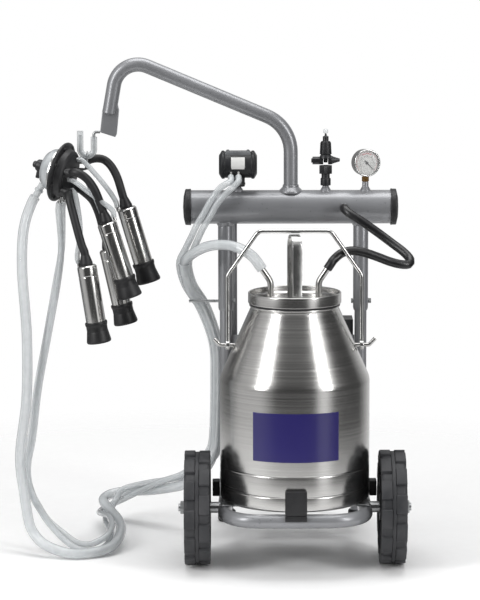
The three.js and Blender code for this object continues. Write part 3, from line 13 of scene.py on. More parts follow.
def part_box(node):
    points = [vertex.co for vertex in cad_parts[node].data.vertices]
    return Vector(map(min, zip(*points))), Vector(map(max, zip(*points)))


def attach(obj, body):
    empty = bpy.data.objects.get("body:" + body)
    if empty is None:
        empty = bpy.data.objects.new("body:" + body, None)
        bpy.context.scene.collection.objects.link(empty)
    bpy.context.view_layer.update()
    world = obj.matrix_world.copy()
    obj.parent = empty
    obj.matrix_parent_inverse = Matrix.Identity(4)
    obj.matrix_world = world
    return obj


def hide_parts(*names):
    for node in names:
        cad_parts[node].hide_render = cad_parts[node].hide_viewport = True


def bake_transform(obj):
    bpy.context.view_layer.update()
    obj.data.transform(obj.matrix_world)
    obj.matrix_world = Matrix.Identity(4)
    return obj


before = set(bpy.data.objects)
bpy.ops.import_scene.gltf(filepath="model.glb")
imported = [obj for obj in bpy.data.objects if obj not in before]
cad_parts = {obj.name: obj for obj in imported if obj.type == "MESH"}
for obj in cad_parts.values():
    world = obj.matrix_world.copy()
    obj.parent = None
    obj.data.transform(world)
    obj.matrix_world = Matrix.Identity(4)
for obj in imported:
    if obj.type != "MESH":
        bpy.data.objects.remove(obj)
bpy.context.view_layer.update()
can_low, can_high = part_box("can_body")
can_axis = Vector(((can_low.x + can_high.x) / 2, (can_low.y + can_high.y) / 2, 0))


# ---------------------------------------------------------------- studio
# A pale floor that fades into a white room, with a large soft light on each side of the front. The room
# behind the viewer is dark, so that the polished can shows dark and bright bands. The camera looks a little
# down.
CAMERA_DISTANCE = 5.26
CAMERA_HEIGHT = 1.334
CAMERA_SIDE = math.radians(-1)
CAMERA_DIP = math.radians(8.66)

camera = bpy.data.objects.new("camera", bpy.data.cameras.new("camera"))
bpy.context.scene.collection.objects.link(camera)
camera.data.lens = 160
camera.data.shift_x = -0.0912
camera.data.clip_end = 50
camera.location = can_axis + Vector(
    (CAMERA_DISTANCE * math.sin(CAMERA_SIDE), -CAMERA_DISTANCE * math.cos(CAMERA_SIDE), CAMERA_HEIGHT)
)
camera.rotation_euler = (math.pi / 2 - CAMERA_DIP, 0, CAMERA_SIDE)
bpy.context.scene.camera = camera
bpy.context.scene.view_settings.view_transform = "Standard"


class Socket:
    """An output in a finish's node tree. Arithmetic on it adds Math nodes."""

    def __init__(self, finish, output):
        self.finish = finish
        self.output = output

    def maths(self, operation, a, b):
        return self.finish.node("ShaderNodeMath", {"operation": operation}, {0: a, 1: b})

    def __add__(self, other):
        return self.maths("ADD", self, other)

    def __sub__(self, other):
        return self.maths("SUBTRACT", self, other)

    def __rsub__(self, other):
        return self.maths("SUBTRACT", other, self)

    def __mul__(self, other):
        return self.maths("MULTIPLY", self, other)

    def __gt__(self, other):
        return self.maths("GREATER_THAN", self, other)

    __radd__ = __add__
    __rmul__ = __mul__


class Finish:
    """A material, or the world's light, and the nodes that drive its shader."""

    def __init__(self, name, world=None):
        self.material = world or bpy.data.materials.new(name)
        self.material.use_nodes = True
        self.tree = self.material.node_tree
        self.shader = self.tree.nodes.get("Principled BSDF")

    def node(self, kind, settings=None, inputs=None, output=0):
        """A node of that type, its settings made first, then its sockets given values or links."""
        node = self.tree.nodes.new(kind)
        for name, value in (settings or {}).items():
            setattr(node, name, value)
        self.plug(node, inputs or {})
        return Socket(self, node.outputs[output])

    def plug(self, node, inputs):
        for key, value in inputs.items():
            if isinstance(value, Socket):
                self.tree.links.new(value.output, node.inputs[key])
            else:
                node.inputs[key].default_value = value

    def surface(self, inputs):
        self.plug(self.shader, inputs)

    def place(self, stretch=(1, 1, 1)):
        """Where a point is on the machine, stretched along each axis."""
        where = self.node("ShaderNodeTexCoord", output="Object")
        return self.node("ShaderNodeMapping", inputs={"Vector": where, "Scale": stretch})

    def noise(self, scale, detail=3, stretch=(1, 1, 1)):
        return self.node(
            "ShaderNodeTexNoise",
            inputs={"Vector": self.place(stretch), "Scale": scale, "Detail": detail},
        )

    def ramp(self, value, low, high):
        """0 below low, 1 above high."""
        return self.node(
            "ShaderNodeMapRange", {"clamp": True}, {"Value": value, "From Min": low, "From Max": high}
        )

    def blend(self, mask, a, b):
        return self.node("ShaderNodeMix", {"data_type": "RGBA"}, {0: mask, 6: a, 7: b}, output=2)

    def dent(self, height, distance, strength=1):
        bump = {"Height": height, "Distance": distance, "Strength": strength}
        self.surface({"Normal": self.node("ShaderNodeBump", inputs=bump)})


def colour(red, green, blue):
    """A colour given as it looks on a screen, 0 to 255."""
    shown = [level / 255 for level in (red, green, blue)]
    linear = [c / 12.92 if c <= 0.04045 else ((c + 0.055) / 1.055) ** 2.4 for c in shown]
    return (*linear, 1)


floor_mesh = bpy.data.meshes.new("floor")
floor_mesh.from_pydata([(-9, -9, 0), (9, -9, 0), (9, 9, 0), (-9, 9, 0)], [], [(0, 1, 2, 3)])
floor = bpy.data.objects.new("floor", floor_mesh)
bpy.context.scene.collection.objects.link(floor)
floor.location.z = -0.0005
paper = Finish("floor_paper")
grain = paper.noise(40)
spot = paper.node("ShaderNodeTexCoord", output="Object")
away = paper.node("ShaderNodeVectorMath", {"operation": "LENGTH"}, {0: spot}, output=1)
paper.surface(
    {
        "Base Color": paper.blend(grain, (0.9, 0.9, 0.9, 1), (0.94, 0.94, 0.94, 1)),
        "Roughness": 0.8,
        "Alpha": paper.ramp(away, 1.5, 0.6),
    }
)
floor.data.materials.append(paper.material)


def softbox(name, place, size, watts, aim=(0, 0, 0.5)):
    light = bpy.data.objects.new(name, bpy.data.lights.new(name, "AREA"))
    bpy.context.scene.collection.objects.link(light)
    light.data.shape = "RECTANGLE"
    light.data.size, light.data.size_y = size
    light.data.energy = watts
    light.location = can_axis + Vector(place)
    light.rotation_euler = (can_axis + Vector(aim) - light.location).to_track_quat("-Z", "Y").to_euler()


softbox("left_softbox", (-2.6, -1.9, 1.9), (0.8, 2.4), 62)
softbox("right_softbox", (2.3, -1.9, 1.7), (0.5, 2.4), 44)
softbox("top_softbox", (0, 0.3, 3.2), (2.4, 1.6), 48)
world = bpy.data.worlds.new("white_room")
bpy.context.scene.world = world
room = Finish("white_room", world)
ray = room.node("ShaderNodeLightPath", output="Is Camera Ray")
look = room.node("ShaderNodeTexCoord", output="Generated")
side, depth, height = [room.node("ShaderNodeSeparateXYZ", inputs={0: look}, output=k) for k in range(3)]
left_wall = room.ramp(side, -0.5, -0.8) * room.ramp(depth, 0.5, 0.1) * 0.5
right_strip = room.ramp(side, 0.5, 0.62) * room.ramp(side, 0.86, 0.74) * room.ramp(depth, 0.0, -0.2)
back_wall = room.ramp(depth, 0.45, 0.95) * (room.ramp(side, -0.15, 0.3) * 0.55 + 0.2)
ceiling = room.ramp(height, 0.6, 0.95) * 0.7
glow = left_wall + right_strip * 0.9 + back_wall + ceiling + 0.07
background = room.tree.nodes["Background"]
room.plug(background, {"Color": (1, 1, 1, 1), "Strength": ray + (1 - ray) * glow})


# ---------------------------------------------------------------- clear hoses
# Milk and air run through clear vinyl hoses with thick walls. A wide one in two lengths, joined beside the
# tank, runs from the lid over the floor to the claw, and two thin ones run beside it from the pulsator.
def rings_to_mesh(rings, closed):
    """Rings of as many points each, joined in a row. A closed row joins up again, else it is capped."""
    count = len(rings[0])
    vertices = [p for ring in rings for p in ring]
    faces = []
    for i in range(len(rings) if closed else len(rings) - 1):
        a, b = i * count, ((i + 1) % len(rings)) * count
        for k in range(count):
            j = (k + 1) % count
            faces.append((a + k, a + j, b + j, b + k))
    if not closed:
        faces.append(tuple(reversed(range(count))))
        faces.append(tuple(range((len(rings) - 1) * count, len(rings) * count)))
    return vertices, faces


def smooth(points, spacing=6):
    """A smooth line through points, sampled about every spacing millimetres."""
    points = [Vector(p) for p in points]
    ends = [2 * points[0] - points[1], *points, 2 * points[-1] - points[-2]]
    line = []
    for before, a, b, after in zip(ends, ends[1:], ends[2:], ends[3:]):
        steps = max(2, round((b - a).length / spacing))
        for k in range(steps):
            t = k / steps
            go_a, go_b = (b - before) / 2, (after - a) / 2
            line.append(
                a * (2 * t**3 - 3 * t**2 + 1)
                + go_a * (t**3 - 2 * t**2 + t)
                + b * (3 * t**2 - 2 * t**3)
                + go_b * (t**3 - t**2)
            )
    return line + [points[-1]]


def swept(line, radius, sides=24, bore=0):
    """A round bar along a line, or a tube where it has a bore. A list gives each point its own radius."""
    line = [Vector(p) for p in line]
    ways = [(b - a).normalized() for a, b in zip(line, line[1:])]
    ways = [ways[0]] + [(a + b).normalized() for a, b in zip(ways, ways[1:])] + [ways[-1]]
    across = ways[0].orthogonal().normalized()
    radii = radius if isinstance(radius, (list, tuple)) else [radius] * len(line)
    outer, inner = [], []
    for at, way, r in zip(line, ways, radii):
        across = (across - way * across.dot(way)).normalized()
        beside = way.cross(across)
        turns = [2 * math.pi * k / sides for k in range(sides)]
        outer.append([at + r * (math.cos(a) * across + math.sin(a) * beside) for a in turns])
        if bore:
            inner.append([at + bore * (math.cos(a) * across + math.sin(a) * beside) for a in turns])
    return rings_to_mesh(outer + inner[::-1], closed=True) if bore else rings_to_mesh(outer, closed=False)


def moved(shape, matrix):
    vertices, faces = shape
    return [matrix @ Vector(v) for v in vertices], faces


def placed(shapes, matrix):
    return [moved(shape, matrix) for shape in shapes]


def piece(name, finish, body, slot, nodes, *shapes, sharp=35):
    """One object made of closed shapes, in the finish, riding on a body in place of the CAD nodes."""
    vertices, faces = [], []
    for some, sides in shapes:
        faces += [tuple(i + len(vertices) for i in side) for side in sides]
        vertices += [Vector(v) / 1000 + can_axis for v in some]
    mesh = bpy.data.meshes.new(name)
    mesh.from_pydata(vertices, [], faces)
    form = bmesh.new()
    form.from_mesh(mesh)
    bmesh.ops.recalc_face_normals(form, faces=form.faces)
    form.to_mesh(mesh)
    form.free()
    mesh.polygons.foreach_set("use_smooth", [True] * len(mesh.polygons))
    mesh.set_sharp_from_angle(angle=math.radians(sharp))
    mesh.materials.append(finish.material)
    made = bpy.data.objects.new(name, mesh)
    bpy.context.scene.collection.objects.link(made)
    if nodes:
        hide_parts(*nodes)
    if body:
        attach(made, body)
    return made


def vinyl(name, tint, edge, core=0.28):
    """Clear vinyl: almost see-through where the eye looks straight in, and denser at its edges."""
    clear = Finish(name)
    facing = clear.node("ShaderNodeLayerWeight", inputs={"Blend": 0.45}, output="Facing")
    haze = clear.noise(60, 2)
    clear.surface(
        {
            "Base Color": clear.blend(clear.ramp(facing, 0.35, 0.95), tint, edge),
            "Roughness": haze * 0.1 + 0.06,
            "Alpha": clear.ramp(facing, 0.1, 0.95) * 0.6 + haze * 0.12 + core,
            "IOR": 1.5,
            "Coat Weight": 0.4,
        }
    )
    return clear


clear_vinyl = vinyl("clear_vinyl", colour(226, 230, 232), colour(120, 124, 128))
MILK_HOSE = 10.5
PULSE_HOSE = 6.5
HOSE_GAP = 0.3
HOSE_STRAIGHT = 14


def square(tip, way):
    """Two points that lead a hose straight off the end of its nipple."""
    tip, way = Vector(tip), Vector(way).normalized()
    return [tip + way * HOSE_GAP, tip + way * HOSE_STRAIGHT]


claw_place = Vector((-474, 168, 773))
CLAW_DROP = math.radians(14)
CLAW_TURN = math.radians(19)
claw_level = math.cos(CLAW_DROP)
claw_way = Vector(
    (claw_level * math.cos(CLAW_TURN), -claw_level * math.sin(CLAW_TURN), -math.sin(CLAW_DROP))
)
claw_up = (Vector((0, 0, 1)) - claw_way * claw_way.z).normalized()
claw_back = claw_up.cross(claw_way).normalized()
claw = Matrix.Translation(claw_place) @ Matrix((claw_back, claw_up, claw_way)).transposed().to_4x4()


def turn_to(way):
    return Vector((0, 0, 1)).rotation_difference(Vector(way)).to_matrix().to_4x4()


TIE = Vector((-222, 150, 577))
TIE_WAY = Vector((0.06, 0.51, -0.86)).normalized()
LID_FOOT = 528.2
OUTLET_FOOT = Vector((-8, -20, -26.3))
OUTLET_WAY = Vector((-0.21, -0.945, -0.235)).normalized()
OUTLET_LENGTH = 44
outlet_tip = claw @ (OUTLET_FOOT + OUTLET_WAY * OUTLET_LENGTH)
outlet_down = claw.to_3x3() @ OUTLET_WAY
PULSATOR = Vector((-113, 180, 786))
PULSE_WAY = Vector((0, -math.cos(math.radians(34)), -math.sin(math.radians(34))))
PULSE_FOOT = Vector((0, -12, -6))
PULSE_REACH = 27
PULSE_LEFT, PULSE_RIGHT = -14.5, 1
LONG_PULSE = 10


def pulsator_tip(x):
    return PULSATOR + Vector((x, 0, 0)) + PULSE_FOOT + PULSE_WAY * PULSE_REACH


def claw_pulse_tip(x):
    return claw @ Vector((x, -60, 16))


nozzle_way = {s: Vector((s * 17, 0, 25)) for s in (-1, 1)}
nozzle_tip = {s: Vector((s * 65, 0, LID_FOOT + 67)) for s in (-1, 1)}
milk_lid_line = smooth(
    [
        *square(nozzle_tip[-1], nozzle_way[-1]),
        (-83, 6, 619), (-102, 17, 631), (-127, 33, 638), (-153, 55, 637),
        (-179, 80, 629), (-203, 104, 614), (-218, 126, 599),
        *reversed(square(TIE, -TIE_WAY)),
    ]
)
milk_claw_line = smooth(
    [
        *square(TIE, TIE_WAY),
        (-211, 188, 524), (-183, 212, 476), (-161, 222, 405), (-158, 224, 330), (-161, 220, 214),
        (-168, 222, 171), (-185, 230, 139), (-221, 258, 103), (-265, 294, 84), (-309, 330, 71),
        (-353, 362, 62), (-382, 367, 57), (-400, 350, 53), (-403, 322, 48), (-381, 262, 38),
        (-366, 215, 33), (-358, 155, 28), (-363, 88, 21), (-382, 44, 14), (-412, 25, 11),
        (-445, 15, 11), (-476, 22, 15), (-510, 36, 27), (-530, 50, 44), (-541, 58, 67),
        (-550, 65, 124), (-558, 72, 202), (-544, 82, 320), (-543, 98, 447), (-552, 120, 568),
        (-552, 138, 637), (-546, 152, 677),
        *reversed(square(outlet_tip, outlet_down)),
    ]
)
pulse_front_line = smooth(
    [
        *square(pulsator_tip(PULSE_RIGHT), PULSE_WAY),
        (-123, 127, 745), (-139, 124, 731), (-156, 121, 711), (-170, 118, 686), (-184, 117, 663),
        (-195, 122, 639), (-206, 142, 612), (-214, 165, 582), (-205, 206, 536), (-177, 232, 484),
        (-153, 242, 406), (-150, 243, 330), (-153, 239, 213), (-159, 241, 171), (-183, 247, 147),
        (-220, 271, 117), (-267, 299, 101), (-316, 326, 87), (-361, 341, 72), (-375, 333, 55),
        (-386, 318, 36), (-397, 302, 22), (-396, 260, 20), (-388, 212, 21), (-379, 155, 18),
        (-383, 92, 13), (-396, 55, 11), (-416, 46, 9), (-442, 46, 14), (-470, 57, 31),
        (-500, 73, 59), (-519, 82, 85), (-534, 90, 110), (-544, 98, 147), (-544, 103, 184),
        (-534, 108, 235), (-521, 113, 336), (-502, 122, 437), (-482, 136, 546), (-474, 146, 620),
        *reversed(square(claw_pulse_tip(-LONG_PULSE), -claw_up)),
    ]
)
pulse_rear_line = smooth(
    [
        *square(pulsator_tip(PULSE_LEFT), PULSE_WAY),
        (-137, 128, 752), (-151, 126, 742), (-168, 122, 719), (-182, 118, 694), (-196, 117, 671),
        (-207, 122, 647), (-220, 142, 619), (-234, 166, 584), (-224, 206, 533), (-193, 232, 477),
        (-169, 242, 405), (-166, 243, 330), (-169, 239, 214), (-177, 242, 177), (-197, 242, 155),
        (-231, 259, 123), (-275, 287, 101), (-319, 315, 76), (-359, 341, 51), (-388, 349, 36),
        (-407, 332, 29), (-411, 297, 31), (-402, 257, 38), (-386, 211, 43), (-377, 154, 41),
        (-381, 90, 34), (-398, 72, 25), (-420, 66, 18), (-445, 66, 22), (-474, 77, 40),
        (-503, 90, 62), (-522, 99, 88), (-538, 112, 116), (-552, 121, 164), (-550, 123, 186),
        (-539, 124, 237), (-526, 129, 334), (-507, 138, 435), (-487, 152, 544), (-474, 162, 620),
        *reversed(square(claw_pulse_tip(LONG_PULSE), -claw_up)),
    ]
)


def hose(name, line, radius, finish, slot, node):
    """A free hose swept along its line, on no body, running from one point to another."""
    made = piece(name, finish, None, slot, [node], swept(line, radius, sides=20, bore=radius * 0.68))
    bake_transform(made)
    return made


hose("milk_hose_to_tie", milk_lid_line, MILK_HOSE, clear_vinyl, "clear_plastic", "milk_hose_lid")
hose("milk_hose_to_claw", milk_claw_line, MILK_HOSE, clear_vinyl, "clear_plastic", "milk_hose_claw")
hose("front_pulse_hose", pulse_front_line, PULSE_HOSE, clear_vinyl, "clear_plastic", "pulse_hose_front")
hose("rear_pulse_hose", pulse_rear_line, PULSE_HOSE, clear_vinyl, "clear_plastic", "pulse_hose_rear")


# ---------------------------------------------------------------- vacuum hose
# A black rubber hose takes air from the lid to the tank. It is moulded, with a satin skin that dust dulls a
# little.
def rubber(name, dark, dusty, rough=0.42):
    skin = Finish(name)
    dust = skin.ramp(skin.noise(18, 5), 0.45, 0.75)
    fine = skin.noise(900, 2)
    skin.surface(
        {
            "Base Color": skin.blend(dust * 0.6, dark, dusty),
            "Roughness": dust * 0.15 + fine * 0.08 + rough,
        }
    )
    skin.dent(fine, 0.0001, 0.35)
    return skin


black_rubber = rubber("black_rubber", colour(22, 22, 24), colour(48, 48, 50))
hose_rubber = rubber("hose_rubber", colour(16, 16, 18), colour(34, 34, 36), rough=0.25)
TANK_X = -5
TANK_Y = 180
TANK_Z = 699
TANK_RADIUS = 34.5
NIPPLE_X = 103
tank_nipple_tip = Vector((NIPPLE_X, TANK_Y - TANK_RADIUS - 12, TANK_Z + 3))
vacuum_line = smooth(
    [
        *square(tank_nipple_tip, (0, -1, 0)),
        (112, 108, 694), (132, 101, 682), (153, 97, 668), (176, 90, 652), (200, 78, 635),
        (221, 64, 620), (233, 50, 607), (229, 38, 599), (212, 32, 600), (190, 30, 606),
        (165, 27, 616), (136, 23, 626), (112, 19, 629), (92, 13, 624), (77, 5, 612),
        *reversed(square(nozzle_tip[1], nozzle_way[1])),
    ]
)
hose("lid_vacuum_hose", vacuum_line, 9, hose_rubber, "black_rubber", "vacuum_hose")


# ---------------------------------------------------------------- base frame and its feet
# One steel tube bent round the front and down into two rear legs, sprayed with grey enamel. Each leg stands
# in a moulded rubber foot.
def enamel(name, paint, rough=0.34):
    coat = Finish(name)
    peel = coat.noise(420, 2)
    cloud = coat.noise(7, 4)
    speck = coat.ramp(coat.noise(160, 4), 0.66, 0.7)
    light = tuple(min(1, c * 1.22) for c in paint[:3]) + (1,)
    dark = tuple(c * 0.55 for c in paint[:3]) + (1,)
    body = coat.blend(coat.ramp(cloud, 0.35, 0.7), paint, light)
    coat.surface(
        {
            "Base Color": coat.blend(speck * 0.5, body, dark),
            "Metallic": 0.35,
            "Roughness": cloud * 0.14 + rough - 0.05,
            "Coat Weight": 0.35,
            "Coat Roughness": 0.15,
        }
    )
    coat.dent(peel, 0.00015, 0.3)
    return coat


grey_enamel = enamel("grey_enamel", colour(134, 135, 138))


def bent(corners, radii, step=6):
    """Straight stretches with round corners."""
    corners = [Vector(c) for c in corners]
    line = [corners[0]]
    for i in range(1, len(corners) - 1):
        before = (corners[i] - corners[i - 1]).normalized()
        after = (corners[i + 1] - corners[i]).normalized()
        angle = before.angle(after)
        radius = radii[i - 1] if isinstance(radii, (list, tuple)) else radii
        centre = corners[i] + (after - before).normalized() * radius / math.cos(angle / 2)
        axis = before.cross(after).normalized()
        start = corners[i] - before * radius * math.tan(angle / 2) - centre
        steps = max(3, round(math.degrees(angle) / step))
        line += [Matrix.Rotation(angle * k / steps, 3, axis) @ start + centre for k in range(steps + 1)]
    return line + [corners[-1]]


def softened(corners, radius, closed=False, steps=3):
    """A flat outline with its corners rounded off."""
    points = [Vector(c) for c in corners]
    count = len(points)
    line = []
    for i, corner in enumerate(points):
        if not closed and i in (0, count - 1):
            line.append(corner)
            continue
        before, after = points[i - 1] - corner, points[(i + 1) % count] - corner
        reach = min(radius, before.length * 0.45, after.length * 0.45)
        a, b = corner + before.normalized() * reach, corner + after.normalized() * reach
        for k in range(steps + 1):
            t = k / steps
            line.append(a * (1 - t) ** 2 + corner * 2 * t * (1 - t) + b * t**2)
    return line


def turned(profile, sides=72, soft=0.8, ring=False):
    """Turned about Z from corners of radius and z that run from axis to axis, or close up as a ring."""
    line = softened(profile, soft, closed=ring)
    vertices, rows, faces = [], [], []
    for r, z in line:
        if r < 1e-6:
            rows.append([len(vertices)] * sides)
            vertices.append(Vector((0, 0, z)))
            continue
        rows.append([len(vertices) + k for k in range(sides)])
        for k in range(sides):
            a = 2 * math.pi * k / sides
            vertices.append(Vector((r * math.cos(a), r * math.sin(a), z)))
    for a, b in zip(rows, rows[1:] + ([rows[0]] if ring else [])):
        for k in range(sides):
            j = (k + 1) % sides
            corners = list(dict.fromkeys((a[k], a[j], b[j], b[k])))
            if len(corners) > 2:
                faces.append(tuple(corners))
    return vertices, faces


def rod(radius, z0, z1, sides=36, soft=0.6):
    return turned([(0, z0), (radius, z0), (radius, z1), (0, z1)], sides, soft)


X_AXIS = Matrix.Rotation(math.pi / 2, 4, "Y")
Y_AXIS = Matrix.Rotation(-math.pi / 2, 4, "X")


def at(x, y, z):
    return Matrix.Translation((x, y, z))


TUBE = 14
BASE_Z = 115
HALF_WIDTH = 140
REAR_Y = 350
base_line = bent(
    [
        (-HALF_WIDTH, REAR_Y, 6.3), (-HALF_WIDTH, REAR_Y, BASE_Z), (-HALF_WIDTH, -146, BASE_Z),
        (HALF_WIDTH, -146, BASE_Z), (HALF_WIDTH, REAR_Y, BASE_Z), (HALF_WIDTH, REAR_Y, 6.3),
    ],
    [45, 75, 75, 45],
)
piece("base_tube", grey_enamel, "trolley", "grey_paint", ["base_frame"], swept(base_line, TUBE, 36))
for hand, s in (("left", -1), ("right", 1)):
    foot = turned([(0, 0), (17, 0), (19, 3), (19, 21), (17, 24), (14.6, 24), (14.6, 6), (0, 6)], 48)
    piece(f"{hand}_rubber_foot", black_rubber, "trolley", "black_rubber", [f"foot_{hand}"],
          moved(foot, at(s * HALF_WIDTH, REAR_Y, 0)))


# ---------------------------------------------------------------- can seat, stops and motor platform
# Flat bars under the can are zinc plated. Rubber blocks on the frame keep the can from sliding off, and a
# bent plate at the back carries the motor and the pump.
def plated(name, metal, rough=0.3):
    coat = Finish(name)
    cloud = coat.noise(30, 5)
    fine = coat.noise(300, 3)
    dull = tuple(c * 0.72 for c in metal[:3]) + (1,)
    coat.surface(
        {
            "Base Color": coat.blend(coat.ramp(cloud, 0.35, 0.7), dull, metal),
            "Metallic": 1.0,
            "Roughness": cloud * 0.2 + fine * 0.08 + rough - 0.1,
        }
    )
    coat.dent(fine, 0.00008, 0.3)
    return coat


zinc = plated("zinc_plate", colour(190, 192, 193))


def keep(node, finish):
    """A CAD piece whose shape is already right."""
    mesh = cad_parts[node].data
    mesh.materials.clear()
    mesh.materials.append(finish.material)


def slab(outline, y0, y1, soft=0.8):
    """A flat outline of x and z, as thick as y0 to y1, with its edges rounded."""
    form = bmesh.new()
    front = form.faces.new([form.verts.new((x, y0, z)) for x, z in outline])
    grown = bmesh.ops.extrude_face_region(form, geom=[front])["geom"]
    far_side = [v for v in grown if isinstance(v, bmesh.types.BMVert)]
    bmesh.ops.translate(form, verts=far_side, vec=(0, y1 - y0, 0))
    bmesh.ops.recalc_face_normals(form, faces=form.faces)
    edges = [e for e in form.edges if e.calc_face_angle(0) > 0.4]
    bmesh.ops.bevel(form, geom=edges, offset=soft, segments=3, profile=0.5, affect="EDGES",
                    clamp_overlap=True)
    form.verts.index_update()
    shape = [v.co.copy() for v in form.verts], [tuple(v.index for v in f.verts) for f in form.faces]
    form.free()
    return shape


def block(x0, x1, y0, y1, z0, z1, soft=0.8):
    return slab([(x0, z0), (x1, z0), (x1, z1), (x0, z1)], y0, y1, soft)


SEAT_BOTTOM = 129.3
SEAT_TOP = 132.3
for node in ("axle_left", "axle_right", "hose_peg", "lock_bolt", "drive_shaft"):
    keep(node, zinc)
keep("motor_platform", grey_enamel)
keep("lid_gasket", black_rubber)
piece("can_seat_bars", zinc, "trolley", "zinc", ["can_seat"],
      *[block(-147, 147, y - 15, y + 15, SEAT_BOTTOM, SEAT_TOP, 0.5) for y in (-62, 62)],
      block(-15, 15, -46.8, 46.8, SEAT_BOTTOM, SEAT_TOP, 0.5))
front_stop = [
    block(-21.5, 21.5, -164.2, -151.2, 129.5, 178, 2),
    block(-21.5, 21.5, -164.2, -161, 118, 129.2, 0.8),
    block(-8, 8, -164.5, -163, 140, 168, 0.5),
]
piece("front_can_stop", black_rubber, "trolley", "black_rubber", ["can_stop_front"], *front_stop)
for hand, s in (("left", -1), ("right", 1)):
    stop = block(151.2, 166, 15, 45, 129.5, 160, 1.5)
    mirror = Matrix.Scale(s, 4, (1, 0, 0))
    piece(f"{hand}_can_stop", black_rubber, "trolley", "black_rubber", [f"can_stop_{hand}"],
          moved(stop, mirror))


# ---------------------------------------------------------------- wheels
# Solid moulded wheels with a chunky block tread in two staggered rows. The plastic is dark and matt, and the
# tread picks up dust.
WHEEL_RADIUS = 115
WHEEL_WIDTH = 51
WHEEL_X = 195.5
AXLE_Y = -21
tyre = Finish("wheel_plastic")
wheel_dust = tyre.ramp(tyre.noise(25, 6), 0.42, 0.72)
wheel_fine = tyre.noise(700, 3)
tyre.surface(
    {
        "Base Color": tyre.blend(wheel_dust * 0.75, colour(40, 41, 44), colour(70, 70, 72)),
        "Roughness": wheel_dust * 0.15 + wheel_fine * 0.1 + 0.5,
    }
)
tyre.dent(wheel_fine + tyre.noise(90, 3) * 0.8, 0.0003, 0.45)
half = WHEEL_WIDTH / 2
core = turned(
    [
        (8.3, -half), (26, -half), (29, -half + 12), (93, -half + 12), (97, -half), (105, -half),
        (109.5, -half + 5), (109.5, half - 5), (105, half), (97, half), (93, half - 12), (29, half - 12),
        (26, half), (8.3, half),
    ],
    96, 1.5, ring=True,
)
tread = [turned([(105, -4), (112, -3.5), (112, 3.5), (105, 4)], 96, 0.8, ring=True)]
BLOCKS = 12
BLOCK_FOOT = WHEEL_RADIUS - 11.6
BESIDE_GROOVE = 4
stand_out = Matrix(((0, 0, 1, 0), (1, 0, 0, 0), (0, 1, 0, 0), (0, 0, 0, 1)))
for row, (low, high) in enumerate(((BESIDE_GROOVE, half), (-half, -BESIDE_GROOVE))):
    lug = slab([(-21, 0), (21, 0), (18.5, 10), (-18.5, 10)], low, high, 1.6)
    for i in range(BLOCKS):
        angle = (i + row / 2 + 0.5) * 2 * math.pi / BLOCKS
        tread.append(moved(lug, Matrix.Rotation(angle, 4, "Z") @ at(BLOCK_FOOT, 0, 0) @ stand_out))
SPOKES = 6
SPOKE_DEPTH = 9
for i in range(SPOKES):
    for face in (-1, 1):
        rib = block(27, 95, -3, 3, min(0, face * SPOKE_DEPTH), max(0, face * SPOKE_DEPTH), 1)
        turn = Matrix.Rotation(i * 2 * math.pi / SPOKES, 4, "Z")
        tread.append(moved(rib, turn @ at(0, 0, face * (half - 12))))
for hand, s in (("left", -1), ("right", 1)):
    hub_place = at(s * WHEEL_X, AXLE_Y, WHEEL_RADIUS) @ X_AXIS
    piece(f"{hand}_moulded_wheel", tyre, f"{hand}_wheel", "wheel_plastic", [f"wheel_{hand}"],
          *placed((core, *tread), hub_place))


# ---------------------------------------------------------------- uprights and cross plate
# Thin tubes welded to the base frame, with thick tubes slipped over them and pinned, so that the top comes
# off. A plate welded between them carries the switch.
UPRIGHT_X = 139
LOWER_RADIUS, UPPER_RADIUS = 12.5, 15.5
SOCKET_Z = 485
UPRIGHT_TOP = 668
PLATE_BOTTOM, PLATE_TOP = 355, 433
for hand, s in (("left", -1), ("right", 1)):
    place = at(s * UPRIGHT_X, TANK_Y, 0)
    piece(f"{hand}_lower_upright", grey_enamel, "trolley", "grey_paint", [f"upright_lower_{hand}"],
          moved(rod(LOWER_RADIUS, BASE_Z + 4, 541, 40), place))
    sleeve = turned(
        [
            (0, 545), (12.7, 545), (12.7, SOCKET_Z), (14.2, SOCKET_Z), (UPPER_RADIUS, SOCKET_Z + 6),
            (UPPER_RADIUS, UPRIGHT_TOP), (0, UPRIGHT_TOP),
        ],
        40, 1.2,
    )
    weld = turned([(0, 660), (16, 660), (19.5, 667), (19.5, 672), (0, 672)], 40, 1.5)
    piece(f"{hand}_upper_upright", grey_enamel, "trolley", "grey_paint", [f"upright_upper_{hand}"],
          moved(sleeve, place), moved(weld, place))
piece("switch_plate", grey_enamel, "trolley", "grey_paint", ["cross_plate"],
      block(-126.2, 126.2, 178, 182, PLATE_BOTTOM, PLATE_TOP, 1))


# ---------------------------------------------------------------- vacuum tank
# A length of wide tube with a rubber cap pulled over each end, and weld cones for what stands on it: the mast
# and three sockets.
def boss(x, cone, stem, top):
    profile = [(0, 29), (cone, 29), (cone, 33), (stem + 1, 40.5), (stem, 42), (stem, top), (0, top)]
    if top < 42:
        profile = [(0, 29), (cone, 29), (cone, 33), (stem + 1, 39.5), (stem, 40.2), (stem, top), (0, top)]
    return moved(turned(profile, 48, 1.2), at(x - TANK_X, 0, 0))


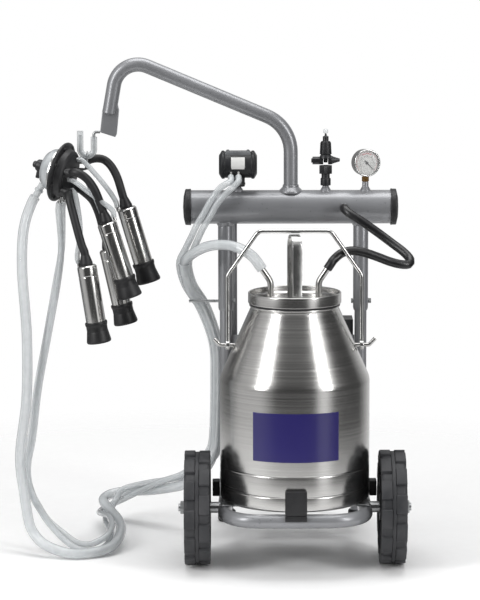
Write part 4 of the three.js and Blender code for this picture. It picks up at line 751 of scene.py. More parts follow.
TANK_HALF = 214
TANK_WALL = 3
PULSATOR_X, REGULATOR_X, GAUGE_X = -113, 66.5, 148
tank_shell = turned(
    [
        (TANK_RADIUS - TANK_WALL, -TANK_HALF), (TANK_RADIUS, -TANK_HALF), (TANK_RADIUS, TANK_HALF),
        (TANK_RADIUS - TANK_WALL, TANK_HALF),
    ], 96, 0.5, ring=True
)
tank_parts = [
    moved(tank_shell, X_AXIS),
    boss(TANK_X, 25, 16.5, 46),
    boss(PULSATOR_X, 12, 6.5, 41),
    boss(REGULATOR_X, 12, 6.5, 44),
    boss(GAUGE_X, 12, 6.5, 52),
    moved(rod(6.5, 30, 46.5), at(NIPPLE_X - TANK_X, 0, 3) @ Y_AXIS.inverted()),
    moved(rod(9, 30, 37.5, 6), at(NIPPLE_X - TANK_X, 0, 3) @ Y_AXIS.inverted()),
    moved(rod(11.5, -32.5, -20.5), at(-125 - TANK_X, 27, 0)),
]
piece("tank_tube", grey_enamel, "trolley", "grey_paint", ["vacuum_tank"],
      *placed(tank_parts, at(TANK_X, TANK_Y, TANK_Z)))
for hand, s in (("left", -1), ("right", 1)):
    e = TANK_HALF
    cap = turned(
        [(0, e + 0.4), (34.8, e + 0.4), (34.8, e - 9.5), (37, e - 9.5), (37, e + 1.5), (35, e + 2.5),
         (22, e + 5.6), (0, e + 7)],
        96, 1.2,
    )
    rim = turned([(36.5, e - 9.3), (37.4, e - 9), (37.4, e - 6.5), (36.5, e - 6)], 96, 0.4, ring=True)
    mirror = at(TANK_X, TANK_Y, TANK_Z) @ Matrix.Scale(s, 4, (1, 0, 0)) @ X_AXIS
    piece(f"{hand}_tank_cap", black_rubber, "trolley", "black_rubber", [f"tank_cap_{hand}"],
          moved(cap, mirror), moved(rim, mirror))
suction_line = bent([(-125, 207, 665), (-125, 207, 330), (-88, 290, 300), (-88, 290, 272.6)], [28, 24])
piece("suction_tube", grey_enamel, "trolley", "grey_paint", ["suction_pipe"], swept(suction_line, 9.5, 28))


# ---------------------------------------------------------------- mast and cluster hook
# The mast is a bent tube whose end is pressed flat. A thin rod through it is bent into an open hook, with a
# clear sleeve so that it doesn't rattle.
mast_line = bent([(0, 0, 745.3), (0, 0, 865), (-349, 0, 1011), (-370, 0, 892)], [79, 50])
blade = slab(
    [(-389, 853), (-358, 843), (-355, 850), (-350, 898), (-355, 922), (-378, 922), (-384, 898)],
    -4.5, 4.5, 1.8,
)
piece("mast_tube", grey_enamel, "trolley", "grey_paint", ["mast"],
      *placed((swept(mast_line, 14.5, 40), blade), at(TANK_X, TANK_Y, 0)))
HOOK_X, HOOK_Z, HOOK_BEND = -421, 818.5, 14
hook_line = bent(
    [
        (-394.3, 180, 853.5), (HOOK_X + HOOK_BEND, 180, 853.5), (HOOK_X + HOOK_BEND, 180, HOOK_Z - HOOK_BEND),
        (HOOK_X - HOOK_BEND, 180, HOOK_Z - HOOK_BEND), (HOOK_X - HOOK_BEND, 180, 847.5),
    ],
    [6, 13.99, 13.99],
)
piece("hook_rod", zinc, "trolley", "zinc", ["cluster_hook"], swept(hook_line, 3, 20))
sleeve_line = bent(
    [
        (HOOK_X + HOOK_BEND, 180, 843.5), (HOOK_X + HOOK_BEND, 180, HOOK_Z - HOOK_BEND),
        (HOOK_X - HOOK_BEND, 180, HOOK_Z - HOOK_BEND), (HOOK_X - HOOK_BEND, 180, 855.5),
    ],
    13.99,
)
piece("hook_cover", clear_vinyl, "trolley", "clear_plastic", ["hook_sleeve"],
      swept(sleeve_line, 6.5, 24, bore=3.3))


# ---------------------------------------------------------------- can
# The can is spun and welded from stainless sheet and polished round and round. It has a plain ring at the
# foot, a seam above it, two wire ears for the bail, and a plain blue panel on its front.
def polished(name, metal, lines=(2, 2, 420), rough=0.2, contrast=0.16):
    bright = Finish(name)
    grain = bright.noise(1.0, 4, lines)
    cloud = bright.noise(9, 4)
    dull = tuple(c * 0.86 for c in metal[:3]) + (1,)
    bright.surface(
        {
            "Base Color": bright.blend(bright.ramp(grain + cloud * 0.4, 0.5, 0.95), dull, metal),
            "Metallic": 1.0,
            "Roughness": grain * contrast + cloud * 0.1 + rough - 0.1,
        }
    )
    bright.dent(grain, 0.00006, 0.35)
    return bright


steel = polished("polished_steel", colour(205, 204, 202))
plain_steel = polished("plain_steel", colour(212, 212, 211), (60, 60, 60), 0.18)
CAN_FOOT = 132.6
CAN_RADIUS, CAN_WALL = 150, 1.5
SHOULDER_Z = 241
MOUTH_Z = 392
can_profile = [
    (0, 0), (146, 0), (149.4, 3), (149.4, 27), (148, 28.5), (CAN_RADIUS, 31), (CAN_RADIUS, 68.5),
    (149.2, 69.6), (149.2, 71.4), (CAN_RADIUS, 72.5), (CAN_RADIUS, SHOULDER_Z), (149.3, 245),
    (147.5, 251.5), (89, 384), (86.3, 388), (90, 389), (91, 390.5), (90, MOUTH_Z), (84.5, MOUTH_Z),
    (84.5, 386), (146, 250.5), (CAN_RADIUS - CAN_WALL, SHOULDER_Z - 1), (CAN_RADIUS - CAN_WALL, 12),
    (138, 3), (0, 3),
]
EAR_Z = 309.5
ears = []
for s in (-1, 1):
    ear = bent([(s * 118, 0, EAR_Z), (s * 149, 0, EAR_Z), (s * 161, 0, EAR_Z + 13)], 6)
    ears.append(swept(ear, 4, 24))
piece("can_shell", steel, "trolley", "bright_steel", ["can_body"],
      *placed((turned(can_profile, 160, 1.2), *ears), at(0, 0, CAN_FOOT)))
panel_paint = Finish("blue_panel")
panel_shade = panel_paint.noise(5, 3)
panel_paint.surface(
    {
        "Base Color": panel_paint.blend(panel_shade, colour(34, 28, 92), colour(42, 36, 106)),
        "Roughness": panel_paint.noise(80, 3) * 0.1 + 0.25,
        "Coat Weight": 0.4,
    }
)
PANEL_HALF = math.radians(34)
PANEL_STEPS = 40
PANEL_OUTSIDE, PANEL_INSIDE = 150.5, 150.1
PANEL_BOTTOM, PANEL_TOP = 233, 330
panel_turns = [PANEL_HALF * (2 * k / PANEL_STEPS - 1) for k in range(PANEL_STEPS + 1)]
panel_outer = [Vector((PANEL_OUTSIDE * math.sin(a), -PANEL_OUTSIDE * math.cos(a), 0)) for a in panel_turns]
panel_inner = [p * (PANEL_INSIDE / PANEL_OUTSIDE) for p in panel_outer]
panel_loop = panel_outer + panel_inner[::-1]
panel_rows = [[p + Vector((0, 0, z)) for p in panel_loop] for z in (PANEL_BOTTOM, PANEL_TOP)]
piece("can_panel", panel_paint, "trolley", "bright_steel", [], rings_to_mesh(panel_rows, closed=False))


# ---------------------------------------------------------------- lid, gasket and lid handle
# A pressed lid sits on a rubber gasket, held down by vacuum. Two bent nozzles are welded into it, and a flat
# strip bent into a tall arch is its handle.
lid_parts = [
    turned(
        [
            (0, 5.5), (77, 5.5), (80, 0), (92, 0), (93, 1), (93, 20), (92, 21.5), (90.5, 21.5), (89.5, 20.5),
            (89.5, 10), (86, 7), (0, 7),
        ],
        120, 0.8,
    )
]
for s in (-1, 1):
    line = bent([(s * 48, 0, -10), (s * 48, 0, 42), (s * 65, 0, 67)], 22)
    lid_parts.append(swept(line, 6.3, 32, bore=4.8))
    lid_parts.append(moved(turned([(6.2, 6.8), (9.5, 6.8), (7, 10), (6.2, 11)], 40, 0.5, ring=True),
                           at(s * 48, 0, 0)))
piece("lid_pressing", steel, "lid_set", "bright_steel", ["lid"], *placed(lid_parts, at(0, 0, LID_FOOT)))
ARCH_INNER, ARCH_OUTER, ARCH_TOP, ARCH_FOOT = 27, 30, 136.5, 7.3
centre = ARCH_TOP - ARCH_OUTER
arch = [(-42, ARCH_FOOT), (-ARCH_INNER, ARCH_FOOT)]
arch += [(ARCH_INNER * math.cos(a), centre + ARCH_INNER * math.sin(a)) for a in
         (math.pi * (1 - k / 24) for k in range(25))]
arch += [(ARCH_INNER, ARCH_FOOT), (42, ARCH_FOOT), (42, ARCH_FOOT + 3), (ARCH_OUTER, ARCH_FOOT + 3)]
arch += [(ARCH_OUTER * math.cos(a), centre + ARCH_OUTER * math.sin(a)) for a in
         (math.pi * k / 24 for k in range(25))]
arch += [(-ARCH_OUTER, ARCH_FOOT + 3), (-42, ARCH_FOOT + 3)]
arch_place = at(0, 0, LID_FOOT) @ Matrix.Rotation(math.pi / 2 + math.radians(10.5), 4, "Z")
piece("lid_strap_handle", plain_steel, "lid_set", "bright_steel", ["lid_handle"],
      moved(slab(arch, -9.5, 9.5, 0.7), arch_place),
      *[moved(rod(3.2, ARCH_FOOT + 2.8, ARCH_FOOT + 5), arch_place @ at(s * 36, 0, 0)) for s in (-1, 1)])


# ---------------------------------------------------------------- bail
# A steel wire bent in five stretches, with an eye at each end that turns on the can's ear. At rest it stands
# upright over the lid's handle.
PIVOT_Z = CAN_FOOT + EAR_Z
BAIL_HALF, BAIL_TOP_HALF = 134, 72
BAIL_KNEE, BAIL_TOP = 141, 229
BAIL_WIRE = 4.2
bail_line = bent(
    [
        (-BAIL_HALF, 0, 7), (-BAIL_HALF, 0, BAIL_KNEE), (-BAIL_TOP_HALF, 0, BAIL_TOP),
        (BAIL_TOP_HALF, 0, BAIL_TOP), (BAIL_HALF, 0, BAIL_KNEE), (BAIL_HALF, 0, 7),
    ],
    [20, 18, 18, 20],
)
eye = turned(
    [(4.6, -BAIL_WIRE), (9.2, -BAIL_WIRE), (9.2, BAIL_WIRE), (4.6, BAIL_WIRE)], 40, 1.6, ring=True
)
piece("bail_wire", plain_steel, "bail", "bright_steel", ["bail_handle"],
      *placed((
          swept(bail_line, BAIL_WIRE, 24),
          moved(eye, at(-BAIL_HALF, 0, 0) @ X_AXIS),
          moved(eye, at(BAIL_HALF, 0, 0) @ X_AXIS)), at(0, 0, PIVOT_Z)))


# ---------------------------------------------------------------- pulsator
# A black moulded cylinder on its own neck, which switches air to the two pulse hoses. A grey cover with two
# studs is let into its top, and a plain white label is stuck to its front.
def moulded(name, dark, light, rough=0.38):
    plastic = Finish(name)
    cloud = plastic.noise(35, 4)
    fine = plastic.noise(850, 2)
    plastic.surface(
        {
            "Base Color": plastic.blend(plastic.ramp(cloud, 0.4, 0.8), dark, light),
            "Roughness": cloud * 0.12 + fine * 0.06 + rough - 0.06,
        }
    )
    plastic.dent(fine, 0.0001, 0.3)
    return plastic


black_plastic = moulded("black_plastic", colour(26, 27, 29), colour(40, 41, 44))
grey_plastic = moulded("grey_plastic", colour(96, 98, 101), colour(118, 120, 122))
white_label = moulded("white_label", colour(214, 214, 212), colour(228, 228, 226), rough=0.45)
pulsator_place = Matrix.Translation(PULSATOR)
pulsator_drum = turned(
    [
        (0, -39), (19, -39), (29, -33), (29, -28), (27, -27), (27, -14), (26.6, -13), (26.6, 13),
        (27, 14), (27, 27), (29, 28), (29, 33), (19, 39), (0, 39),
    ],
    72, 1,
)
stem_band = turned([(13.8, -42), (15, -41), (15, -37), (13.8, -36)], 36, 0.4, ring=True)
drum_parts = [moved(pulsator_drum, X_AXIS), rod(14, -44.5, -20, 36), stem_band]
piece("pulsator_drum", black_plastic, "trolley", "black_plastic", ["pulsator_body"],
      *placed(drum_parts, pulsator_place))
nipple_parts = []
for x in (PULSE_LEFT, PULSE_RIGHT):
    line = [Vector((x, 0, 0)) + PULSE_FOOT + PULSE_WAY * k for k in (9, PULSE_REACH)]
    nipple_parts.append(swept(line, 4, 24, bore=2.4))
piece("pulsator_nipples", plain_steel, "trolley", "zinc", [], *placed(nipple_parts, pulsator_place))
cover = slab([(-26.7, 14), (26.7, 14), (26.7, 24), (24, 28), (-24, 28), (-26.7, 24)], -16, 16, 1.5)
stud = turned([(0, 26), (4.5, 26), (4.5, 28.6), (2.6, 29), (2.6, 30.5), (0, 30.5)], 24, 0.4)
cover_parts = [cover] + [moved(stud, at(s * 20.7, 5, 0)) for s in (-1, 1)]
piece("pulsator_lid", grey_plastic, "trolley", "zinc", ["pulsator_cover"],
      *placed(cover_parts, pulsator_place))
label_arc = [math.radians(a) for a in range(-34, 35, 4)]
label_loop = [Vector((0, -27.2 * math.cos(a), 27.2 * math.sin(a) + 2)) for a in label_arc]
label_loop += [Vector((0, -26.8 * math.cos(a), 26.8 * math.sin(a) + 2)) for a in reversed(label_arc)]
label_rings = [[p + Vector((x, 0, 0)) for p in label_loop] for x in (-14, 14)]
piece("pulsator_label", white_label, "trolley", "zinc", [],
      moved(rings_to_mesh(label_rings, closed=False), pulsator_place))


# ---------------------------------------------------------------- vacuum regulator
# A moulded valve on a socket of the tank. The ribbed cap on top screws in or out to set the vacuum, and a
# clear bead tops it.
regulator_place = at(REGULATOR_X, TANK_Y, 743.3)
RIBS = 12
star_radii = [13.5 if k % 2 else 11.2 for k in range(2 * RIBS)]
star_turns = [math.pi * k / RIBS for k in range(2 * RIBS)]
star = [(r * math.cos(a), r * math.sin(a)) for r, a in zip(star_radii, star_turns)]
regulator_parts = [
    turned([(0, 0), (10.5, 0), (10.5, 14), (8.5, 16), (8.5, 30), (10.5, 32), (10.5, 36), (7, 38), (7, 41),
            (0, 41)], 48, 0.8),
    moved(slab(star, -17, 0, 0.6), at(0, 0, 41) @ Y_AXIS @ Matrix.Scale(-1, 4, (0, 1, 0))),
    turned([(0, 56), (13, 56), (12, 60), (10, 64), (4.3, 64), (4.3, 50), (0, 50)], 48, 0.8),
    moved(rod(8, -27, -5, 6, 1), at(0, 0, 51) @ X_AXIS),
    moved(rod(4.5, -29.5, -26, 24, 0.5), at(0, 0, 51) @ X_AXIS),
    moved(turned([(0, 5), (9, 5), (9, 12), (7, 16), (3, 29), (0, 29)], 36, 1), at(0, 0, 52) @ X_AXIS),
]
piece("regulator_valve", black_plastic, "trolley", "black_plastic", ["regulator_body"],
      *placed(regulator_parts, regulator_place))
CAP_Z = 64.3
cap_parts = [
    turned([(0, 47), (4, 47), (4, CAP_Z), (11, CAP_Z), (9.6, CAP_Z + 26), (6, CAP_Z + 27), (6, CAP_Z + 36),
            (2, CAP_Z + 38), (2, CAP_Z + 42), (0, CAP_Z + 42)], 48, 0.8)
]
for i in range(RIBS):
    rib = slab([(9, CAP_Z), (12.5, CAP_Z), (12, CAP_Z + 3), (11, CAP_Z + 23), (10, CAP_Z + 24.5),
                (8.5, CAP_Z + 24.5)], -0.9, 0.9, 0.3)
    cap_parts.append(moved(rib, Matrix.Rotation(i * 2 * math.pi / RIBS, 4, "Z")))
piece("regulator_cap", black_plastic, "adjuster", "black_plastic", ["regulator_adjuster"],
      *placed(cap_parts, regulator_place))
knob = turned([(0, CAP_Z + 42.2), (3, CAP_Z + 42.6), (5, CAP_Z + 44), (5, CAP_Z + 49), (3, CAP_Z + 51),
               (0, CAP_Z + 51)], 32, 0.8)
piece("regulator_top_bead", clear_vinyl, "adjuster", "clear_plastic", [], moved(knob, regulator_place))


# ---------------------------------------------------------------- vacuum gauge
# A round dial gauge with a bright case on a brass hexagon. The white dial has an outer scale in red, an
# inner one in black, and its needle rests at zero on the lower right.
GAUGE_Z = 790
GAUGE_RADIUS = 28
DIAL_Z, MARK_BOTTOM, MARK_TOP = 8, 8.35, 8.65
GAUGE_TURN = math.radians(17)
gauge_place = at(GAUGE_X, TANK_Y, GAUGE_Z) @ Matrix.Rotation(GAUGE_TURN, 4, "Z") @ Y_AXIS.inverted()
case = turned(
    [
        (0, -14), (24, -14), (27, -11), (27, 5), (GAUGE_RADIUS, 6), (GAUGE_RADIUS, 13), (27, 14),
        (25.8, 14), (25.3, 12.5), (25.3, 8), (0, 8),
    ],
    96, 0.9,
)
piece("gauge_shell", plain_steel, "trolley", "bright_steel", ["gauge_case"], moved(case, gauge_place))
brass = plated("brass", colour(202, 158, 98), rough=0.32)
piece("gauge_stem", brass, "trolley", "zinc", [],
      *placed((rod(7.3, 751.3, 761.5, 6, 0.8), rod(4.2, 761, 765, 24)), at(GAUGE_X, TANK_Y, 0)))
dial_white = moulded("dial_white", colour(236, 236, 233), colour(242, 242, 240), rough=0.4)
dial_red = moulded("dial_red", colour(214, 96, 104), colour(224, 112, 118), rough=0.4)
dial_black = moulded("dial_black", colour(30, 30, 32), colour(44, 44, 46), rough=0.4)
piece("gauge_dial", dial_white, "trolley", "bright_steel", [],
      moved(rod(25.2, DIAL_Z, DIAL_Z + 0.4, 72, 0.1), gauge_place))


def tick(radius, reach, width, angle):
    mark = block(radius, radius + reach, -width / 2, width / 2, MARK_BOTTOM, MARK_TOP, 0.08)
    return moved(mark, Matrix.Rotation(angle, 4, "Z"))


SWEEP_FROM, SWEEP = math.radians(-45), math.radians(270)
outer_ticks = [tick(21, 2.6 if k % 5 == 0 else 1.6, 0.5, SWEEP_FROM + SWEEP * k / 50) for k in range(51)]
inner_ticks = [tick(13, 2.4 if k % 5 == 0 else 1.4, 0.45, SWEEP_FROM + SWEEP * k / 30) for k in range(31)]
arc = [math.radians(a) for a in range(58, 123, 4)]
band_corners = [(19.6, a) for a in arc] + [(18.2, a) for a in arc[::-1]]
band = [Vector((r * math.cos(a), r * math.sin(a), 0)) for r, a in band_corners]
band_rings = [[p + Vector((0, 0, z)) for p in band] for z in (MARK_BOTTOM, MARK_TOP)]
red_band = rings_to_mesh(band_rings, closed=False)
piece("gauge_outer_scale", dial_red, "trolley", "bright_steel", [],
      *placed((*outer_ticks, red_band), gauge_place))
piece("gauge_inner_scale", dial_black, "trolley", "bright_steel", [], *placed(inner_ticks, gauge_place))
needle_parts = [
    rod(2.8, 9.1, 10.4, 32, 0.3),
    moved(slab([(-6, -0.9), (-2, -0.8), (21, -0.25), (21, 0.25), (-2, 0.8), (-6, 0.9)], -0.35, 0.35, 0.1),
          at(0, 0, 9.6) @ Matrix.Rotation(math.pi / 2, 4, "X")),
]
piece("gauge_pointer", dial_black, "needle", "black_plastic", ["gauge_needle"],
      *placed(needle_parts, gauge_place @ Matrix.Rotation(math.radians(-45), 4, "Z")))
lens = vinyl("gauge_lens", colour(240, 242, 244), colour(200, 204, 208), core=0.02)
piece("gauge_glass", lens, "trolley", "clear_plastic", [],
      moved(turned([(0, 11.6), (25.2, 11.6), (25.2, 12.4), (14, 13), (0, 13.2)], 72, 0.2), gauge_place))


# ---------------------------------------------------------------- motor and vane pump
# Behind the can an electric motor turns a rotary vane pump through a coupling. Both are grey-painted
# castings, bolted to the platform.
motor_enamel = enamel("motor_enamel", colour(72, 77, 82))
drive_place = at(0, 290, 206.3)
FOOT = -71.7
MOTOR_RADIUS, PUMP_RADIUS = 58, 50
PUMP_COVER = PUMP_RADIUS + 4
motor_parts = [
    moved(turned(
        [(0, -22), (22, -22), (26, -16), (54, -12), (MOTOR_RADIUS, -7), (MOTOR_RADIUS, 86), (60, 88),
         (60, 110), (48, 118), (0, 118)], 96, 2
    ), X_AXIS),
    block(-2, 82, -MOTOR_RADIUS, MOTOR_RADIUS, FOOT, FOOT + 7, 1.5),
    block(4, 76, -30, 30, FOOT + 6.5, -42, 2),
    block(8, 72, 6, 56, 24, 70, 3),
]
for i in range(15):
    fin = block(-6, 84, -1.2, 1.2, 54, 63, 0.7)
    motor_parts.append(moved(fin, Matrix.Rotation(math.radians((i - 7) * 12), 4, "X")))
for k in range(6):
    motor_parts.append(moved(block(117, 118.6, -2, 2, 14, 40, 0.4), Matrix.Rotation(k * math.pi / 3, 4, "X")))
piece("drive_motor", motor_enamel, "trolley", "motor_paint", ["motor_body"],
      *placed(motor_parts, drive_place))
pump_parts = [
    moved(turned([(12, -116), (PUMP_RADIUS, -116), (PUMP_RADIUS, -60), (12, -60)], 96, 0.8, ring=True),
          X_AXIS),
    moved(turned([(0, -120), (PUMP_COVER, -120), (PUMP_COVER, -112), (0, -112)], 96, 1), X_AXIS),
    moved(turned([(8, -64), (PUMP_COVER, -64), (PUMP_COVER, -54), (8, -54)], 96, 1, ring=True), X_AXIS),
    block(-114, -62, -46, 46, FOOT, FOOT + 8, 1.5),
    block(-108, -68, -26, 26, FOOT + 7.5, -36, 2),
    moved(rod(13, 42, 66, 40), at(-88, 0, 0)),
    moved(rod(11, 42, 62, 40), at(-88, 0, 12) @ Y_AXIS),
    moved(rod(20, 60, 112, 60, 3), at(-88, 0, 12) @ Y_AXIS),
]
for k in range(6):
    bolt = at(0, 47 * math.cos(k * math.pi / 3), 47 * math.sin(k * math.pi / 3)) @ X_AXIS
    pump_parts.append(moved(rod(3.5, -122, -119, 6, 0.5), bolt))
piece("vane_pump", motor_enamel, "trolley", "motor_paint", ["pump_body"],
      *placed(pump_parts, drive_place))


# ---------------------------------------------------------------- switch box
# A moulded box behind the cross plate, with a gland under it. A rocker switch tips in the slot across the
# middle of its top.
box_parts = [
    slab([(45, 408), (124, 408), (124, 464), (98.2, 464), (98.2, 452), (71.8, 452), (71.8, 464), (45, 464)],
         201.8, 218.8, 1.2),
    block(45, 124, 182.3, 201.8, 408, 464, 1.2),
    block(45, 124, 218.8, 240.3, 408, 464, 1.2),
    moved(turned([(4, 392), (9, 392), (9, 409), (4, 409)], 6, 0.6, ring=True), at(65, 212.3, 0)),
]
piece("switch_case", black_plastic, "trolley", "black_plastic", ["switch_box"], *box_parts)
rocker = slab([(-12, 0.5), (-8, -5), (8, -5), (12, 0.5), (11, 4), (0, 2), (-11, 1)], -7.5, 7.5, 0.5)
piece("rocker_key", dial_red, "rocker", "black_plastic", ["switch_rocker"], moved(rocker, at(85, 210.3, 463)))


# ---------------------------------------------------------------- claw
# The claw gathers the milk of four cups. It is a black rubber-covered disc with nipples on its hub, and a
# clear bowl behind it with a shut-off valve and an outlet.
claw_parts = [
    turned(
        [(0, -4), (58, -4), (62, -2), (62, 2), (57, 5), (51, 6), (50, 9), (48, 17), (42, 22), (0, 22)], 96,
        1.6
    )
]
milk_nipples = {
    "a": ((40, 24, 14), (0.6, 0.25, 0.76), 16),
    "b": ((-33, 10, 16), (-0.15, 0, 0.99), 12),
    "c": ((26, -26, 16), (0.1, -0.1, 0.99), 12),
    "d": ((-26, -28, 16), (-0.1, -0.15, 0.98), 12),
}
short_pulse_nipples = {"a": (10, 32), "b": (-20, -7), "c": (32, -2), "d": (-2, -34)}
for foot, way, reach in milk_nipples.values():
    claw_parts.append(moved(rod(7.5, 0, reach, 36), Matrix.Translation(foot) @ turn_to(way)))
for k in range(8):
    a = (k + 0.5) * math.pi / 4
    claw_parts.append(moved(rod(4, 1.5, 7, 6, 0.6), at(54.5 * math.cos(a), 54.5 * math.sin(a), 0)))
EYE_Z = 781.3
eye_plate = slab(
    [(HOOK_X - 32, EYE_Z - 12), (HOOK_X - 4, EYE_Z - 6), (HOOK_X + 5, EYE_Z - 2.5), (HOOK_X + 5, EYE_Z - 2),
     (HOOK_X - 2, EYE_Z - 2), (HOOK_X - 32, EYE_Z)],
    178.75, 181.25, 0.4,
)
piece("claw_disc", black_rubber, "cluster", "black_rubber", ["claw_manifold"], *placed(claw_parts, claw))
eye_ring = turned([(2.2, -1.25), (5, -1.25), (5, 1.25), (2.2, 1.25)], 32, 0.4, ring=True)
piece("claw_eye", zinc, "cluster", "zinc", [],
      eye_plate, moved(eye_ring, at(HOOK_X, 180, EYE_Z) @ Y_AXIS))
nipple_lines = [[(x, y, 19), (x, y, 32)] for x, y in short_pulse_nipples.values()]
nipple_lines += [[(x, -47, 16), (x, -60, 16)] for x in (-LONG_PULSE, LONG_PULSE)]
piece("claw_pulse_nipples", plain_steel, "cluster", "zinc", [],
      *placed([swept(line, 4, 24, bore=2.5) for line in nipple_lines], claw))
BOWL_TOP = -4.3
BOWL_END = BOWL_TOP - 34
bowl = turned(
    [
        (45, BOWL_TOP), (45, BOWL_TOP - 8), (41, BOWL_TOP - 20), (32, BOWL_END + 4), (20, BOWL_END),
        (5.3, BOWL_END), (5.3, BOWL_END + 2), (19, BOWL_END + 2), (30, BOWL_END + 6),
        (39, BOWL_TOP - 19), (43, BOWL_TOP - 8), (43, BOWL_TOP),
    ],
    96, 1.5, ring=True,
)
outlet = swept([OUTLET_FOOT + OUTLET_WAY * k for k in (14, 24, 34, OUTLET_LENGTH)], 7, 32, bore=5)
collar = swept([OUTLET_FOOT + OUTLET_WAY * k for k in (26, 31)], 9, 32, bore=6.9)
piece("claw_clear_bowl", clear_vinyl, "cluster", "clear_plastic", ["claw_bowl"],
      *placed((bowl, outlet, collar), claw))
clamp = turned([(44.5, -13), (46.5, -12), (46.5, -7), (44.5, -6)], 96, 0.5, ring=True)
piece("bowl_band", plain_steel, "cluster", "bright_steel", [], moved(clamp, claw))
valve_parts = [
    rod(5, BOWL_END - 4, BOWL_END + 13, 32),
    rod(9, BOWL_END + 8.3, BOWL_END + 13, 40),
    turned([(0, BOWL_END - 16.3), (10, BOWL_END - 16.3), (12, BOWL_END - 14), (12, BOWL_END - 0.3),
            (0, BOWL_END - 0.3)], 48, 1),
    block(-6, 6, -26, 12, BOWL_END - 12.3, BOWL_END - 4.3, 1.5),
    turned([(0, BOWL_END - 24.3), (5, BOWL_END - 24.3), (7, BOWL_END - 22), (7, BOWL_END - 15),
            (0, BOWL_END - 15)], 40, 1),
]
piece("claw_shut_off", black_plastic, "valve", "black_plastic", ["claw_valve"], *placed(valve_parts, claw))
RING_TOP, RING_HALF = 812.8, 8.5
ring_line = bent(
    [
        (HOOK_X, 180, EYE_Z), (HOOK_X, 180 + RING_HALF, EYE_Z), (HOOK_X, 180 + RING_HALF, RING_TOP),
        (HOOK_X, 180 - RING_HALF, RING_TOP), (HOOK_X, 180 - RING_HALF, EYE_Z), (HOOK_X, 179.7, EYE_Z),
    ],
    RING_HALF - 1,
)
piece("claw_hanging_ring", zinc, "cluster", "zinc", ["hanger_ring"], swept(ring_line, 1.3, 16))


# ---------------------------------------------------------------- teat cups
# Each cup is a stainless shell over a black rubber liner. The liner's head is the mouth at the lower end,
# and its short milk tube runs up over the shell's neck to the claw. A clear tube brings the pulses to a
# spout on the shell.
shell_steel = polished("shell_steel", colour(214, 213, 211), (300, 300, 12), 0.15, 0.12)
SHELL_RADIUS, SHELL_LENGTH, SHELL_WALL = 20, 123, 1.2
LINER_BORE = 12
FIT = 0.3
cups = {
    "a": ((-342, 185, 697), (-306, 185, 574), 0,
          [(-417, 200, 795), (-403, 203, 797), (-388, 204, 794), (-374, 200, 782), (-361, 194, 759)]),
    "b": ((-380, 125, 674), (-342, 125, 550), math.pi,
          [(-440, 111, 778), (-420, 108, 767), (-404, 112, 745), (-393, 118, 717)]),
    "c": ((-381, 210, 609), (-354.5, 210, 490), 0.6 * math.pi,
          [(-429, 178, 731), (-411, 186, 712), (-399, 196, 682), (-391, 204, 648)]),
    "d": ((-420, 100, 590), (-401.5, 100, 468), -0.15 * math.pi,
          [(-455, 121, 724), (-449, 114, 702), (-440, 107, 668), (-430, 102, 632)]),
}
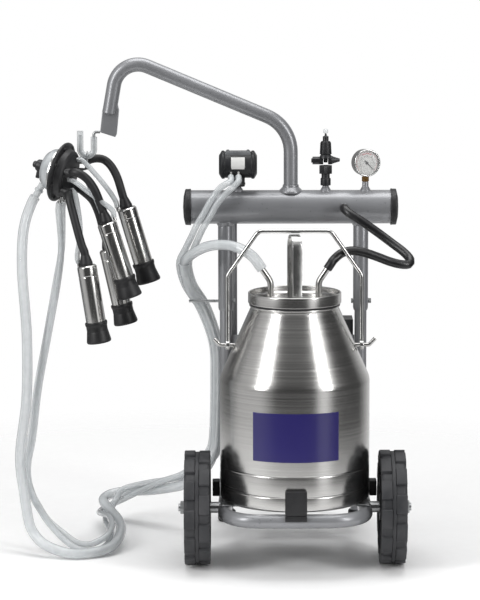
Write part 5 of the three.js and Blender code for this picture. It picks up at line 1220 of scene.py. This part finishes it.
for letter, (top, end, spout, route) in cups.items():
    top, end = Vector(top), Vector(end)
    way = (end - top).normalized()
    place = Matrix.Translation(top) @ turn_to(way)
    inside = SHELL_RADIUS - SHELL_WALL
    shell = turned(
        [
            (9.3, 0), (17, 0), (SHELL_RADIUS, 3), (SHELL_RADIUS, 20), (SHELL_RADIUS - 0.4, 21),
            (SHELL_RADIUS - 0.4, 22.5), (SHELL_RADIUS, 23.5), (SHELL_RADIUS, SHELL_LENGTH),
            (inside, SHELL_LENGTH), (inside, 3), (16.5, SHELL_WALL), (9.3, SHELL_WALL),
        ],
        72, 1, ring=True,
    )
    spout_at = Vector((18 * math.cos(spout), -18 * math.sin(spout), 0))
    spout_line = [spout_at + Vector((0, 0, z)) for z in (2.2, -4, -12)]
    piece(f"cup_{letter}_shell", shell_steel, "cluster", "bright_steel", [f"teat_shell_{letter}"],
          moved(shell, place), moved(swept(spout_line, 3.5, 24, bore=2.2), place))
    rim = SHELL_LENGTH + FIT
    head = turned(
        [
            (LINER_BORE, 40), (14.2, 40), (14.2, rim), (SHELL_RADIUS + FIT, rim),
            (SHELL_RADIUS + FIT, 117), (22.8, 117), (22.8, 122), (21.4, 126), (21.4, 136), (22, 138),
            (25.3, 157), (24, 160), (21, 160.5), (14, 160.5), (LINER_BORE, 158),
        ],
        72, 1.4, ring=True,
    )
    neck = turned(
        [(0, -22), (8.5, -22), (10, -17), (13, -5), (13, -0.4), (9, -0.4), (9, 30), (0, 30)], 48, 1
    )
    foot, nipple_way, reach = milk_nipples[letter]
    nipple_way = Vector(nipple_way).normalized()
    tip = claw @ (Vector(foot) + nipple_way * reach)
    tip_way = claw.to_3x3() @ nipple_way
    stem = top + way * -22
    tube_line = smooth([tip + tip_way * 0.3, tip + tip_way * 7, *route, stem - way * 6, stem + way * 6], 5)
    cuff = smooth([tip + tip_way * 0.3, tip + tip_way * 6, tip + tip_way * 12], 3)
    piece(f"cup_{letter}_liner", black_rubber, "cluster", "black_rubber", [f"teat_liner_{letter}"],
          moved(head, place), moved(neck, place), swept(tube_line, 8.5, 28), swept(cuff, 9.4, 28))
    x, y = short_pulse_nipples[letter]
    start, away = claw @ Vector((x, y, 26)), claw.to_3x3() @ Vector((0, 0, 1))
    spout_end = place @ (spout_at + Vector((0, 0, -6)))
    up = -way
    middle = (start + spout_end) / 2 + away * 16 + Vector((0, -14, 4))
    pulse_line = smooth([start, start + away * 14, middle, spout_end + up * 16, spout_end], 4)
    piece(f"cup_{letter}_pulse_tube", clear_vinyl, "cluster", "clear_plastic", [],
          swept(pulse_line, 5.2, 20, bore=4.05))


# ---------------------------------------------------------------- hose joiner
# Beside the tank a short clear sleeve joins the two lengths of milk hose. It fits closely round both ends,
# and the pulse hoses pass in front of it.
tie_line = [TIE + TIE_WAY * k for k in (-14, -7, 0, 7, 14)]
piece("milk_hose_joiner", clear_vinyl, "trolley", "clear_plastic", [], swept(tie_line, 12.2, 32, bore=10.7))
